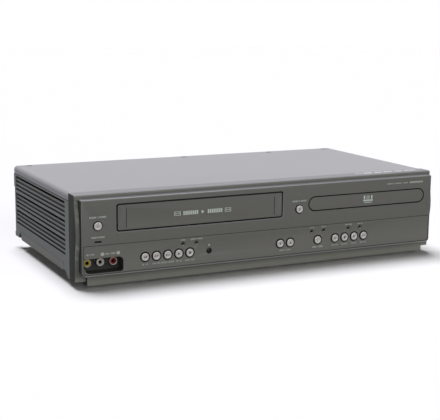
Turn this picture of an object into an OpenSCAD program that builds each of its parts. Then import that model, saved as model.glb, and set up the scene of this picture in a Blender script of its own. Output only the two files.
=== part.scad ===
/* [Overall size] */
// Width over the top cover
body_w = 435; // [428:1:446]
// Height from the table to the top of the cover
body_h = 97; // [95:0.5:100]
// Depth from the face of the front to the rear edge of the cover
body_d = 231.5; // [229:0.5:240]
// Distance of the rear panel from the cover's rear edge
rear_inset = 6.5; // [5:0.1:8]
// How far the rear ears and jacks stand out behind the cover
rear_proud = 2.5; // [2:0.1:4]
// Thickness of the folded steel sheets
sheet_t = 0.8; // [0.6:0.1:1]
// Gap between casing parts that meet at a seam
seam_gap = 0.3; // [0.2:0.05:0.4]

/* [Feet] */
// Height of a foot, up to the underside of the bottom pan
foot_h = 12.4; // [11.4:0.1:14]
// Radius of a foot
foot_r = 10; // [8:0.5:12]
// Distance of the feet from the middle of the part
foot_x = 165; // [120:1:180]
// Depth of the front pair of feet
foot_front_d = 42; // [40:1:60]
// Distance of the rear pair of feet from the rear panel
foot_rear_gap = 29; // [20:1:45]

/* [Front rim] */
// How far the rim reaches below the bottom pan
rim_drop = 4.4; // [3:0.1:5]
// How far the raised face stands ahead of the rim
rim_setback = 9.6; // [8:0.1:10.5]
// Depth of the rim along the top
rim_depth = 17.5; // [16:0.1:20]
// Wall thickness of the rim
rim_t = 2.4; // [2:0.1:2.8]
// How far the rim bulges forward at its two ends
rim_bulge = 4.6; // [4:0.1:6.6]
// Height of the bulge above the rim's lower edge
rim_bulge_z = 50; // [45:1:55]
// Half the height of the bulge
rim_bulge_half = 38; // [30:1:38]
// Radius along the rim's front top edge
rim_edge_r = 2; // [1:0.1:2.3]
// How far the skirt reaches below the bottom pan
skirt_drop = 8.6; // [8:0.1:10]
// Distance of the skirt's ends from the sides of the part
skirt_inset = 11.5; // [9:0.5:20]
// How far the skirt lies behind the face
skirt_setback = 5.5; // [4:0.1:7]
// Depth of the skirt
skirt_depth = 12; // [9:0.5:14]

/* [Raised face] */
// Thickness of the face
face_t = 2.5; // [2:0.1:3]
// Thickness of the wall round the face
face_wall = 2; // [1.6:0.1:2.4]
// Distance of the face from the sides of the part
face_inset = 4.2; // [3.5:0.1:5]
// Distance of the face from the top of the part
face_top_gap = 3.9; // [3.5:0.1:5]
// Height of the face's lower edge above the rim's
face_rise = 6.3; // [5:0.1:6.5]
// Radius of the face's two lower corners
face_corner_r = 6; // [5:0.5:8]
// Radius of the face's two upper corners
face_top_r = 2; // [1:0.5:3]
// Radius along the front edge of the face
face_edge_r = 1.4; // [0.8:0.1:1.8]

/* [Control panel] */
// Height of the control panel's upper edge above the rim's lower edge
panel_top = 38.3; // [37:0.1:40]
// Gap of the seam round the control panel
panel_gap = 0.45; // [0.3:0.05:0.6]
// Width of the ledge that the control panel sits on
ledge_w = 2.5; // [2:0.1:3]
// Thickness of that ledge
ledge_t = 1.5; // [1:0.1:1.5]
// Width of the jack recess
recess_w = 40.95; // [40:0.05:44]
// Height of the jack recess
recess_h = 15.4; // [14.5:0.1:16]
// Depth of the jack recess behind the face
recess_d = 14; // [12:0.5:14]
// Wall thickness of the jack recess
recess_wall = 0.9; // [0.8:0.05:0.95]

/* [Push buttons] */
// Radius of a button cap
cap_r = 4.2; // [3.8:0.1:4.4]
// Radius of the hole round a button cap
button_hole_r = 5.3; // [5:0.1:5.5]
// How far the caps stand out of the face
button_proud = 1; // [0.8:0.1:1.3]
// Travel of a button
button_travel = 1; // [0.6:0.1:1.2]
// Radius of the flange that keeps a button in
button_flange_r = 5.95; // [5.8:0.05:6.1]
// Thickness of that flange
button_flange_t = 1.2; // [0.8:0.1:1.5]
// Radius of a button's stem
button_stem_r = 1.6; // [1:0.1:2]
// Height of the lower row of buttons above the rim's lower edge
row_z = 21.7; // [21:0.1:23]
// Spacing of neighbouring buttons
row_pitch = 12.6; // [12.4:0.1:13]
// Distance of the first tape transport button from the jack recess
tape_row_gap = 23.8; // [18:0.1:28]
// Place of the first tracking button
tracking_row_x = 13.3; // [10:0.1:16]
// Place of the source button
source_x = 60.9; // [58:0.1:63]
// Place of the first disc transport button
disc_row_x = 83.4; // [80:0.1:86]
// Place of the standby button, as a share of the gap between the face's wall and the flap
standby_share = 0.4342; // [0.42:0.001:0.45]
// Place of the tray button, as a share of the gap between flap and tray
eject_share = 0.65; // [0.6:0.01:0.68]
// Height of the standby and tray buttons above the rim's lower edge
upper_z = 58.2; // [56:0.1:60]

/* [Windows and lights] */
// Height of the indicator lights above the rim's lower edge
light_z = 31.8; // [30.5:0.1:33]
// Spacing of the two lights of a pair
light_pitch = 15.4; // [14:0.1:16]
// Radius of an indicator light
light_r = 1.9; // [1.5:0.1:2]
// How far lights and windows lie behind the face
window_sink = 0.7; // [0.4:0.1:1]
// Gap round a light or window
window_gap = 0.1; // [0.05:0.01:0.15]
// Width of the bevel round a light and below the standby window
window_bevel = 0.8; // [0.5:0.1:1]
// Width of the standby window
standby_window_w = 7.3; // [6:0.1:8]
// Height of the standby window
standby_window_h = 2; // [1.6:0.1:2.4]
// Height of the standby window above the rim's lower edge
standby_window_z = 41.8; // [41:0.1:44]
// Distance of the remote sensor from the last tape transport button
sensor_gap = 22.3; // [18:0.1:26]
// Radius of the remote sensor's window
sensor_r = 2.5; // [2:0.1:3]

/* [Cassette flap] */
// Share of the free width of the front that lies left of the flap
door_share = 0.4772; // [0.46:0.001:0.49]
// Height of the middle of the flap above the rim's lower edge
door_z = 64.7; // [64.5:0.1:65]
// Width of the flap
door_w = 190; // [189:0.5:191]
// Height of the flap
door_h = 26.6; // [26:0.1:26.8]
// Gap beside and below the flap
door_gap = 1; // [0.8:0.05:1.1]
// Gap above the flap
door_top_gap = 1.5; // [1:0.05:1.6]
// Radius of the flap's corners
door_r = 1.8; // [1.2:0.1:2.2]
// Width of the bevel round the flap's opening
door_bevel = 1; // [0.6:0.1:1.2]
// How far the flap lies behind the face
door_sink = 0.9; // [0.5:0.1:1.2]
// Thickness of the flap
door_t = 1.8; // [1.4:0.1:2]
// Radius of the flap's hinge barrel
hinge_r = 1.5; // [1.3:0.05:1.7]
// Radius of the flap's pivot pins
pivot_r = 1; // [0.8:0.05:1.1]
// Radial clearance of every shaft that runs in a hole
run_fit = 0.05; // [0.03:0.01:0.08]
// How far the flap opens, in degrees
door_swing = 88; // [80:1:90]
// Distance of the two score lines from the ends of the flap
score_inset = 9.2; // [8:0.1:12]
// Distance of the score lines from the flap's lower edge
score_end = 2.1; // [1.5:0.1:4]
// Distance of the score lines from the flap's upper edge
score_top = 3.6; // [2:0.1:4]

/* [Disc tray] */
// Share of the free width of the front that lies right of the tray
tray_share = 0.1617; // [0.15:0.001:0.175]
// Height of the middle of the tray front above the rim's lower edge
tray_z = 62.65; // [62.3:0.05:62.9]
// Width of the tray front
tray_front_w = 153.4; // [152:0.1:154]
// Height of the tray front
tray_front_h = 14.8; // [14.5:0.1:15.2]
// Thickness of the tray front
tray_front_t = 5; // [4:0.1:6]
// Gap round the tray front
tray_gap = 1; // [0.6:0.05:1.1]
// Width of the tray
tray_w = 140; // [138:0.5:141]
// Depth of the tray behind its front
tray_len = 177; // [172:1:178]
// Thickness of the tray at its rim
tray_t = 5; // [4.6:0.1:5.2]
// Radius of the recess for a full size disc
disc_r = 61; // [60.5:0.1:62]
// Radius of the recess for a small disc
small_disc_r = 41; // [40.5:0.1:42]
// Depth of the recess for a full size disc
disc_sink = 2.4; // [2:0.1:2.6]
// Depth of the middle of the disc behind the face
disc_d = 78; // [77:0.5:80]
// How far the tray slides out
tray_travel = 130; // [100:1:130]
// Width of the slot for turntable and pickup
tray_slot_w = 40; // [38:0.5:44]

/* [Tape deck] */
// Width of a cassette with its clearance
cassette_w = 188; // [188:0.5:189]
// Height of a cassette with its clearance
cassette_h = 25; // [25:0.1:25.2]
// Depth at which the cassette holder begins
holder_d = 36; // [35.5:0.5:40]
// Depth of the cassette holder
holder_len = 60; // [54:1:60]
// Room between the loaded holder and the head drum
holder_drum_gap = 5; // [4:0.5:12]
// How far the holder drops
drop_travel = 14; // [10:0.5:14]
// Height of the deck plate above the bottom pan
deck_rise = 27; // [26.5:0.1:28]
// Thickness of the deck plate
deck_t = 1.6; // [1.2:0.1:2]
// Radius of the head drum
drum_r = 31; // [30:0.1:31.2]
// How far the head drum lies left of the middle of the flap
drum_shift = 4.4; // [0:0.1:8]
// Room between the head drum and the rear edge of the deck
drum_rear_gap = 3; // [2:0.1:4]
// Lean of the head drum, in degrees
drum_lean = 5; // [0:0.5:6]
// Radius of a reel table
reel_r = 26; // [20:0.5:30]
// Spacing of the two reel tables
reel_pitch = 92; // [91:0.5:94]
// Depth of the reel tables
reel_d = 78; // [74:0.5:84]
// Radius of the capstan shaft
capstan_r = 1.5; // [1.2:0.05:1.8]
// How far the capstan lies right of the head drum
capstan_right = 60; // [56:0.5:62]
// How far the capstan lies ahead of the head drum
capstan_ahead = 22; // [18:0.5:24]
// Radius of the pinch roller
roller_r = 6; // [5:0.1:6.5]

/* [Disc drive] */
// Height of the drive's floor above the bottom pan
drive_rise = 34.8; // [34:0.1:35.4]
// Wall thickness of the drive frame
drive_wall = 2.5; // [2:0.1:2.8]
// Radius of the turntable
turntable_r = 14; // [12:0.5:15]
// Number of teeth on the tray gear
gear_teeth = 16; // [14:1:17]
// Tooth module of the tray gear and rack
gear_module = 1; // [0.9:0.05:1]
// Backlash of the tray gear in its rack
gear_play = 0.25; // [0.2:0.01:0.3]
// Radius of the pickup's guide rods
rod_r = 1.5; // [1.2:0.05:1.8]
// Spacing of the guide rods
rod_pitch = 44; // [42:0.5:46]
// Travel of the pickup
pickup_travel = 34; // [30:1:36]
// Radius of the clamp puck
puck_r = 14.6; // [13:0.1:15]

/* [Jacks] */
// Radius of a jack's plated shell
jack_r = 4.15; // [4.1:0.01:4.2]
// Length of a shell ahead of its shoulder
jack_len = 7; // [6.5:0.1:7.5]
// Spacing of the three front jacks
front_jack_pitch = 14; // [13.5:0.1:14.2]
// Spacing of the rear jacks
rear_jack_pitch = 16; // [14:0.5:18]

/* [Side louvres] */
// Depth at which the louvres begin
louvre_d0 = 40.1; // [38:0.1:44]
// Distance of the louvres from the rear end of the side panel
louvre_end_gap = 4.4; // [3:0.1:8]
// Spacing of the grooves in a group
louvre_pitch = 4.55; // [4.3:0.05:4.6]
// Spacing of the groups of grooves
group_pitch = 19.9; // [19.4:0.1:20.2]
// Height of a groove
louvre_h = 2.3; // [2:0.1:2.5]
// How much higher the uppermost groove of each group is, which is an open slot
louvre_slot_rise = 0.7; // [0.4:0.1:0.9]
// Height of the lowest groove above the rim's lower edge
louvre_z = 23; // [22:0.1:24]
// How deep each group slopes in at its upper end
louvre_step = 1.3; // [0.8:0.1:1.4]
// Wall thickness of a side panel
side_t = 2.6; // [2.4:0.1:3]
// Wall left behind the grooves under each open slot
groove_floor = 0.7; // [0.5:0.1:0.9]
// Distance of a side panel's rear end from the cover's rear edge
side_end_gap = 0.2; // [0.1:0.1:1]

/* [Hidden] */
$fn = 48;
eps = 0.02;
hole_bevel = 0.4;

half_w = body_w / 2;
total_d = button_proud + body_d + rear_proud;
rear_d = body_d - rear_inset;
rear_t = 1;
face_y = button_proud - total_d / 2;
rim_z0 = foot_h - rim_drop;
rim_back = rim_setback + rim_depth;
tongue_len = 4;
tongue_t = 1.4;

// raised face
face_x = half_w - face_inset;
face_z0 = rim_z0 + face_rise;
face_z1 = body_h - face_top_gap;

// control panel and its window in the face
window_x = face_x - face_wall;
window_z0 = face_z0 + face_wall;
window_z1 = rim_z0 + panel_top;
window_r = face_corner_r - face_wall;
panel_x = window_x - panel_gap;
panel_z0 = window_z0 + panel_gap;
panel_z1 = window_z1 - panel_gap;
seat_gap = 0.1;
ledge_root = 1.2;
recess_z0 = panel_z0 + recess_wall;
recess_z1 = recess_z0 + recess_h;
recess_x1 = -panel_x + recess_wall + recess_w;
recess_r = 5;
recess_floor_t = 1.6;

// boards and buttons at the front
board_t = 1.6;
board_gap = 0.2;
front_board_d = 16;
switch_w = 6;
switch_h = 4;
plunger_h = 0.8;
plunger_r = 1.7;
button_back_d = front_board_d - switch_h - plunger_h - button_travel - seat_gap;
door_open_w = door_w + 2 * door_gap;
tray_open_w = tray_front_w + 2 * tray_gap;
free_w = body_w - door_open_w - tray_open_w;
door_x = -half_w + free_w * door_share + door_open_w / 2;
tray_x = half_w - free_w * tray_share - tray_open_w / 2;
middle_gap = free_w * (1 - door_share - tray_share);
standby_x = -face_x + face_wall + standby_share * (free_w * door_share - face_inset - face_wall);
eject_x = door_x + door_open_w / 2 + middle_gap * eject_share;
tape_row_x = recess_x1 + tape_row_gap;
sensor_x = tape_row_x + 4 * row_pitch + sensor_gap;
button_spots = [
    ["button_standby", standby_x, upper_z],
    ["button_tray", eject_x, upper_z],
    for (i = [0:4]) [str("button_tape_", i + 1), tape_row_x + i * row_pitch, row_z],
    for (i = [0:1]) [str("button_tracking_", i + 1), tracking_row_x + i * row_pitch, row_z],
    ["button_source", source_x, row_z],
    for (i = [0:3]) [str("button_disc_", i + 1), disc_row_x + i * row_pitch, row_z]
];
standby_window_z0 = rim_z0 + standby_window_z - standby_window_h / 2;
lit_buttons = [tape_row_x + 4 * row_pitch, source_x, disc_row_x + 2 * row_pitch];
light_spots = [for (x = lit_buttons) for (s = [-1, 1]) x + s * light_pitch / 2];

// cassette flap
door_open_h = door_h + 2 * door_gap;
door_mid_z = rim_z0 + door_z;
door_top_z = door_mid_z + door_h / 2;
hinge_d = face_t + seam_gap + hinge_r;
hinge_z = door_top_z + door_gap + 1.1;
ear_t = 2.5;
ear_gap = 0.5;
pin_len = 2.2;

// cassette holder, its sliders and the deck
bay_z0 = door_mid_z - door_open_h / 2 + 0.2;
bay_z1 = bay_z0 + cassette_h;
holder_t = 1;
slide_gap = 0.3;
slider_t = 1.2;
holder_x = cassette_w / 2 + holder_t;
slider_x = holder_x + slide_gap;
bracket_x = slider_x + slider_t + slide_gap;
bracket_t = 1.6;
slider_z0 = bay_z0 - 1;
slider_z1 = bay_z1 - 2;
rail_h = 1.4;
holder_pin_r = 1.5;
holder_pin_z = slider_z1 - 5;
pan_top = foot_h + sheet_t;
deck_z = pan_top + deck_rise;
deck_leg_r = 4;
deck_leg_x = [door_x - bracket_x + 5, door_x + bracket_x - 5];
deck_d0 = holder_d - 2;
deck_d1 = rear_d - 19;
deck_leg_gap = 6;
drum_x = door_x - drum_shift;
drum_d = deck_d1 - drum_rear_gap - drum_r;
load_travel = drum_d - drum_r - holder_drum_gap - holder_d - holder_len;
capstan_x = drum_x + capstan_right;
capstan_d = drum_d - capstan_ahead;
post_r = 2;

// disc tray and its drive
tray_mid_z = rim_z0 + tray_z;
tray_z0 = tray_mid_z - 4.15;
tray_z1 = tray_z0 + tray_t;
tray_d0 = tray_front_t;
tray_d1 = tray_front_t + tray_len;
drive_z = pan_top + drive_rise;
drive_t = 2;
drive_in = tray_w / 2 + slide_gap;
drive_out = drive_in + drive_wall;
drive_d0 = 17;
drive_d1 = rear_d - 17;
drive_leg_gap = 8;
drive_leg_r = 3.5;
rail_w = 4;
rail_t = 1.5;
gear_r = gear_module * gear_teeth / 2;
gear_t = 2.6;
gear_d = 40;
rack_x = tray_x - tray_w / 2 + 12;
gear_x = rack_x + gear_r;
rack_z0 = tray_z0 - gear_t - 0.6;
rack_d0 = gear_d - 8;
rack_d1 = gear_d + tray_travel + 8;
traverse_z = drive_z + drive_t + 3;
traverse_t = 2;
rod_z = traverse_z + traverse_t + 4;
pickup_d = disc_d + 24;
pickup_len = 26;
rod_d0 = pickup_d - 20;
rod_d1 = pickup_d + pickup_len + pickup_travel + 5;
disc_z = tray_z1 - disc_sink;
turntable_z = disc_z + 1;
bridge_z = tray_z1 + 8.5;
bridge_t = 1.2;
bridge_half = 20;

// boards below the mechanisms
board_z = pan_top + 5.4;
standoff_r = 3;
main_x0 = -half_w + 17.5;
main_x1 = tray_x - drive_out - 7;
main_d0 = 60;
main_d1 = rear_d - 2;
power_x0 = tray_x - drive_out + 3;
power_x1 = half_w - 13.5;
power_d0 = 96;
power_d1 = rear_d - 31;
coil_w = 36;
coil_d = 30;
coil_gap = 11;
sink_t = 3;
sink_gap = 6;
can_r = 9;
can_h = 22;
can_edge = 24;
filter_r = 3.5;
filter_h = 9;
filter_pitch = 12;
chip_w = 28;
chip_h = 2.4;
chip_edge = 30;
coil_x = power_x0 + 3 * can_edge;
coil_d0 = power_d0 + can_edge + can_r + coil_gap;

// side panels, rear panel and jacks
side_out = half_w - 0.2;
side_in = side_out - side_t;
cover_flange = 8;
cover_r = 4;
pan_flange = 8.4;
pan_flange_d0 = 48;
pan_flange_d1 = rear_d - 17;
pan_flange_r = [4, 3.5, 2.5, 4];
foot_rear_d = rear_d - foot_rear_gap;
side_z0 = foot_h + sheet_t + seat_gap;
side_z1 = body_h - cover_flange - 0.6;
side_end_d = body_d - side_end_gap;
louvre_d1 = side_end_d - louvre_end_gap;
vent_d1 = rear_d - 1;
rear_z1 = body_h - sheet_t - seam_gap;
tab_w = 6.4;
slot_w = 7.6;
slot_len = 4.5;
slot_inset = 16;
tab_sink = 0.7;
cover_slot_x = [-half_w + slot_inset, -1.4, 119.8, half_w - slot_inset + 1.8];
screw_x = [-120, 60, 180];
screw_z = body_h - 6;
screw_r = 1.5;
screw_head_r = 2.8;
shoulder_r = 5;
front_shoulder_r = jack_r + 0.15;
shoulder_t = 1;
neck_r = 3.8;
insert_r = 3.4;
jack_hole_r = 1.6;
front_jack_x = -panel_x + recess_wall + front_shoulder_r + 0.1;
front_jack_z = recess_z1 - 5.6;
rear_jack_x = -44;
rear_jack_z = [30, 48];
block_t = 11;
aerial_x = -half_w + 67.5;
cord_x = half_w - 29.5;
cord_z = 34;
cord_r = 5.5;
ear_w = 7;
ear_h = 15.7;
ear_gap_z = 0.8;
ear_z1 = body_h - cover_flange - ear_gap_z;
ear_z0 = ear_z1 - ear_h;

metal_dark = "dimgray";
body_grey = [0.36, 0.36, 0.34];
panel_grey = [0.40, 0.40, 0.38];
steel = [0.75, 0.75, 0.77];
cover_grey = [0.69, 0.69, 0.71];
side_grey = [0.44, 0.44, 0.45];
button_silver = [0.78, 0.77, 0.75];
black_plastic = [0.1, 0.1, 0.1];
board_green = [0.1, 0.35, 0.2];
white_plastic = [0.92, 0.92, 0.9];

// Round hole through the face at x and z, with a bevel at its mouth
module face_hole(x, z, r, bevel = hole_bevel) {
    bar_y(x, z, -1, face_t + 1, r);
    translate([x, face_y - eps, z])
        rotate([-90, 0, 0])
            cylinder(h = bevel, r1 = r + bevel, r2 = r);
}

// Outline in x and z with one radius for each corner, from lower left anticlockwise
module corner_rect(x0, x1, z0, z1, r) {
    polygon([
        [x0 + r[0], z0], [x1 - r[1], z0], [x1, z0 + r[1]], [x1, z1 - r[2]],
        [x1 - r[2], z1], [x0 + r[3], z1], [x0, z1 - r[3]], [x0, z0 + r[0]]
    ]);
    translate([x0 + r[0], z0 + r[0]]) circle(r[0]);
    translate([x1 - r[1], z0 + r[1]]) circle(r[1]);
    translate([x1 - r[2], z1 - r[2]]) circle(r[2]);
    translate([x0 + r[3], z1 - r[3]]) circle(r[3]);
}

// Pushes an outline drawn in x and z back from depth d by t
module plate_y(d, t) {
    translate([0, face_y + d + t, 0])
        rotate([90, 0, 0])
            linear_extrude(t)
                children();
}

// Sweeps an outline drawn in depth and z across the part from x0 to x1
module sweep_x(x0, x1) {
    translate([x0, face_y, 0])
        rotate([90, 0, 90])
            linear_extrude(x1 - x0)
                children();
}

// Raises an outline drawn in x and depth from z0 to z1
module sweep_z(z0, z1) {
    translate([0, face_y, z0])
        linear_extrude(z1 - z0)
            children();
}

module block(x0, x1, d0, d1, z0, z1) {
    translate([x0, face_y + d0, z0])
        cube([x1 - x0, d1 - d0, z1 - z0]);
}

// Upright round bar at x and depth d
module post(x, d, z0, z1, r) {
    translate([x, face_y + d, z0])
        cylinder(h = z1 - z0, r = r);
}

// Round bar along the depth at x and z
module bar_y(x, z, d0, d1, r) {
    translate([x, face_y + d1, z])
        rotate([90, 0, 0])
            cylinder(h = d1 - d0, r = r);
}

// Round bar across the part at depth d and z
module bar_x(x0, x1, d, z, r) {
    translate([x0, face_y + d, z])
        rotate([0, 90, 0])
            cylinder(h = x1 - x0, r = r);
}

// Depth of the rim's front edge at height z: a raised cosine between its two ends
function rim_front(z) =
    let (u = (z - rim_z0 - rim_bulge_z) / rim_bulge_half)
    rim_setback - (abs(u) < 1 ? rim_bulge * pow(cos(90 * u), 2) : 0);

// Side outline of the rim, moved inwards by t
module rim_outline(t) {
    z0 = rim_z0 + t;
    z1 = body_h - t;
    r = max(rim_edge_r - t, 0.2);
    steps = 22;
    curve = [for (i = [0:steps]) let (z = z0 + (z1 - r - z0) * i / steps) [rim_front(z) + t, z]];
    edge = [for (a = [15:15:90]) [rim_setback + t + r - r * cos(a), z1 - r + r * sin(a)]];
    polygon(concat([[rim_back + (t > 0 ? 1 : 0), z0]], curve, edge, [[rim_back + (t > 0 ? 1 : 0), z1]]));
}

// Face block with rounded front edges
module face_block() {
    d1 = rim_setback + rim_t;
    r = face_edge_r;
    intersection() {
        plate_y(0, d1)
            corner_rect(-face_x, face_x, face_z0, face_z1, [face_corner_r, face_corner_r, face_top_r, face_top_r]);
        sweep_x(-face_x - 1, face_x + 1)
            corner_rect(0, d1 + 5, face_z0, face_z1, [r, r, r, r]);
        sweep_z(face_z0 - 1, face_z1 + 1)
            corner_rect(-face_x, face_x, 0, d1 + 5, [r, r, r, r]);
    }
}

module panel_window(gap) {
    r = max(window_r - gap, 1);
    corner_rect(-window_x + gap, window_x - gap, window_z0 + gap, window_z1 - gap, [r, r, 1, 1]);
}

module pill(x, z, w, h) {
    corner_rect(x - w / 2, x + w / 2, z - h / 2, z + h / 2, [h, h, h, h] / 2.001);
}

// Outline of the flap in x and z, grown by a gap to the sides and below, and by top above
module door_outline(gap, top) {
    r = door_r + gap;
    corner_rect(door_x - door_w / 2 - gap, door_x + door_w / 2 + gap, door_mid_z - door_h / 2 - gap,
        door_top_z + top, [r, r, r, r]);
}

// Opening for the flap with round corners, bevelled towards the front on three sides
module door_opening() {
    plate_y(-1, face_t + 2)
        door_outline(door_gap, door_top_gap);
    hull() {
        plate_y(-eps, eps)
            door_outline(door_gap + door_bevel, door_top_gap);
        plate_y(door_bevel - eps, eps)
            door_outline(door_gap, door_top_gap);
    }
}

// Slot for the standby window, with a bevelled lip below
module standby_slot() {
    x0 = standby_x - standby_window_w / 2;
    x1 = standby_x + standby_window_w / 2;
    block(x0, x1, -1, face_t + 1, standby_window_z0, standby_window_z0 + standby_window_h);
    sweep_x(x0, x1)
        polygon([[-eps, standby_window_z0 - window_bevel], [-eps, standby_window_z0 + eps],
            [window_bevel, standby_window_z0 + eps], [window_bevel, standby_window_z0]]);
}

module bezel_skirt() {
    difference() {
        block(-half_w + skirt_inset, half_w - skirt_inset, skirt_setback, skirt_setback + skirt_depth,
            foot_h - skirt_drop, face_z0 + face_wall / 2);
        block(-half_w + skirt_inset + rim_t, half_w - skirt_inset - rim_t, skirt_setback + rim_t,
            skirt_setback + skirt_depth + 1, foot_h - skirt_drop - 1, rim_z0);
    }
}

// Ledge behind the seam that the control panel rests against
module panel_ledge() {
    difference() {
        plate_y(face_t - eps, ledge_t + seat_gap)
            corner_rect(-window_x - eps, window_x + eps, window_z0 - eps, window_z1 + ledge_root,
                [window_r, window_r, 1, 1]);
        plate_y(face_t - 1, 10)
            corner_rect(-window_x + ledge_w, window_x - ledge_w, window_z0 + ledge_w, window_z1 - ledge_w,
                [2, 2, 1, 1]);
        plate_y(face_t - 1, 1 + seat_gap)
            panel_window(0);
        block(-half_w, recess_x1 + recess_wall + 1, face_t - 1, face_t + 10, 0, recess_z1 + recess_wall + 0.6);
    }
}

// Ears that carry the pivot pins of the flap
module flap_ears() {
    for (s = [-1, 1])
        difference() {
            x_in = door_x + s * (door_w / 2 + ear_gap);
            x_out = x_in + s * ear_t;
            block(min(x_in, x_out), max(x_in, x_out), face_t - eps, hinge_d + 3,
                hinge_z - 3, face_z1 - face_wall);
            bar_x(min(x_in, x_out) - 1, max(x_in, x_out) + 1, hinge_d, hinge_z, pivot_r + run_fit);
        }
}

module front_bezel() {
    color(body_grey) {
        difference() {
            union() {
                sweep_x(-half_w, half_w)
                    rim_outline(0);
                face_block();
                bezel_skirt();
            }
            sweep_x(-half_w + rim_t, half_w - rim_t)
                rim_outline(rim_t);
            plate_y(face_t, rim_back)
                corner_rect(-window_x, window_x, window_z0, face_z1 - face_wall, [window_r, window_r, 1, 1]);
            plate_y(-1, face_t + 2)
                panel_window(0);
            door_opening();
            plate_y(-1, face_t + 2)
                pill(tray_x, tray_mid_z, tray_open_w, tray_front_h + 2 * tray_gap);
            face_hole(standby_x, rim_z0 + upper_z, button_hole_r);
            face_hole(eject_x, rim_z0 + upper_z, button_hole_r);
            standby_slot();
        }
        panel_ledge();
        flap_ears();
        block(-half_w + 20, half_w - 20, rim_back - 3, rim_back + tongue_len,
            body_h - sheet_t - seam_gap - tongue_t, body_h - sheet_t - seam_gap);
        block(-half_w + 20, half_w - 20, rim_back - 3, rim_back,
            body_h - sheet_t - seam_gap - tongue_t, body_h - rim_t + eps);
    }
}

module recess_outline(grow) {
    r = recess_r + grow;
    corner_rect(-panel_x + (grow > 0 ? 0 : recess_wall), recess_x1 + grow, recess_z0 - grow, recess_z1 + grow,
        [r, 3, r, 0.5 + grow]);
}

module control_panel() {
    color(panel_grey)
        difference() {
            plate_y(0, face_t)
                panel_window(panel_gap);
            plate_y(-1, face_t + 2)
                recess_outline(0);
            block(-panel_x - 1, -panel_x + recess_wall + 1, -1, face_t + 1, recess_z0 + recess_r, recess_z1);
            for (spot = button_spots)
                if (spot[2] == row_z)
                    face_hole(spot[1], rim_z0 + row_z, button_hole_r);
            for (x = light_spots)
                face_hole(x, rim_z0 + light_z, light_r + window_gap, window_bevel);
            face_hole(sensor_x, rim_z0 + row_z, sensor_r + window_gap, window_bevel);
        }
}

// Tub behind the control panel that holds the three front jacks
module jack_recess() {
    color(black_plastic)
        difference() {
            plate_y(face_t + seat_gap, recess_d + recess_floor_t - face_t - seat_gap)
                recess_outline(recess_wall);
            plate_y(-1, recess_d + 1)
                recess_outline(0);
            for (i = [0:2])
                bar_y(front_jack_x + i * front_jack_pitch, front_jack_z, recess_d - 1,
                    recess_d + recess_floor_t + 1, neck_r + 0.2);
        }
}

// A push button: cap, keeper flange behind the panel, and stem towards its switch
module push_button(name) {
    for (spot = button_spots)
        if (spot[0] == name)
            color(button_silver)
                translate([spot[1], face_y, rim_z0 + spot[2]])
                    rotate([-90, 0, 0])
                        rotate_extrude()
                            polygon([
                                [0, -button_proud], [cap_r - 0.6, -button_proud], [cap_r, 0.5 - button_proud],
                                [cap_r, face_t + seat_gap], [button_flange_r, face_t + seat_gap],
                                [button_flange_r, face_t + seat_gap + button_flange_t],
                                [button_stem_r, face_t + seat_gap + button_flange_t],
                                [button_stem_r, button_back_d], [0, button_back_d]
                            ]);
}

module indicator_lights() {
    color([0.5, 0.1, 0.1])
        for (x = light_spots)
            bar_y(x, rim_z0 + light_z, window_sink, front_board_d - board_gap, light_r);
}

module standby_window() {
    color([0.5, 0.1, 0.1])
        block(standby_x - standby_window_w / 2 + window_gap, standby_x + standby_window_w / 2 - window_gap,
            window_sink, front_board_d - board_gap, standby_window_z0 + window_gap,
            standby_window_z0 + standby_window_h - window_gap);
}

module sensor_window() {
    color(black_plastic)
        bar_y(sensor_x, rim_z0 + row_z, window_sink, front_board_d - board_gap, sensor_r);
}

// Front board with one tact switch behind each button
module front_board() {
    x0 = -window_x + 3;
    x1 = disc_row_x + 4 * row_pitch;
    tab = 9;
    z0 = window_z0 + 2;
    z1 = window_z1 - 3;
    ztab = rim_z0 + upper_z + tab;
    xstep = recess_x1 + recess_wall + 2;
    zstep = recess_z1 + recess_wall + 1.5;
    color(board_green) {
        plate_y(front_board_d, board_t)
            polygon([
                [xstep, z0], [x1, z0], [x1, z1], [eject_x + tab, z1], [eject_x + tab, ztab],
                [eject_x - tab, ztab], [eject_x - tab, z1], [standby_x + tab, z1], [standby_x + tab, ztab],
                [x0, ztab], [x0, zstep], [xstep, zstep]
            ]);
        for (spot = button_spots) {
            z = rim_z0 + spot[2];
            block(spot[1] - switch_w / 2, spot[1] + switch_w / 2, front_board_d - switch_h,
                front_board_d + eps, z - switch_w / 2, z + switch_w / 2);
            bar_y(spot[1], z, front_board_d - switch_h - plunger_h, front_board_d - switch_h + eps, plunger_r);
        }
    }
}

// Cassette flap: plate with two score lines, web, hinge barrel and pivot pins
module cassette_flap() {
    z0 = door_mid_z - door_h / 2 + score_end;
    z1 = door_top_z - score_top;
    x0 = door_x - door_w / 2;
    x1 = door_x + door_w / 2;
    score = 0.6;
    color(body_grey)
        difference() {
            union() {
                plate_y(door_sink, door_t)
                    door_outline(0, 0);
                sweep_x(x0, x1)
                    polygon([
                        [door_sink + door_t - eps, door_top_z - 5], [door_sink + door_t - eps, door_top_z - 1],
                        [hinge_d - 0.7, hinge_z], [hinge_d + 0.7, hinge_z]
                    ]);
                bar_x(x0, x1, hinge_d, hinge_z, hinge_r);
                bar_x(x0 - pin_len, x1 + pin_len, hinge_d, hinge_z, pivot_r);
            }
            for (x = [x0 + score_inset, x1 - score_inset])
                block(x - score / 2, x + score / 2, door_sink - 1, door_sink + score, z0, z1);
        }
}

module pan_vents() {
    for (g = [-140, -60, 70, 140])
        for (i = [-3:3])
            for (d = [foot_front_d + 38, foot_rear_d - 46])
                block(g + i * 8 - 1.5, g + i * 8 + 1.5, d, d + 34, foot_h - 1, pan_top + 1);
}

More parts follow.
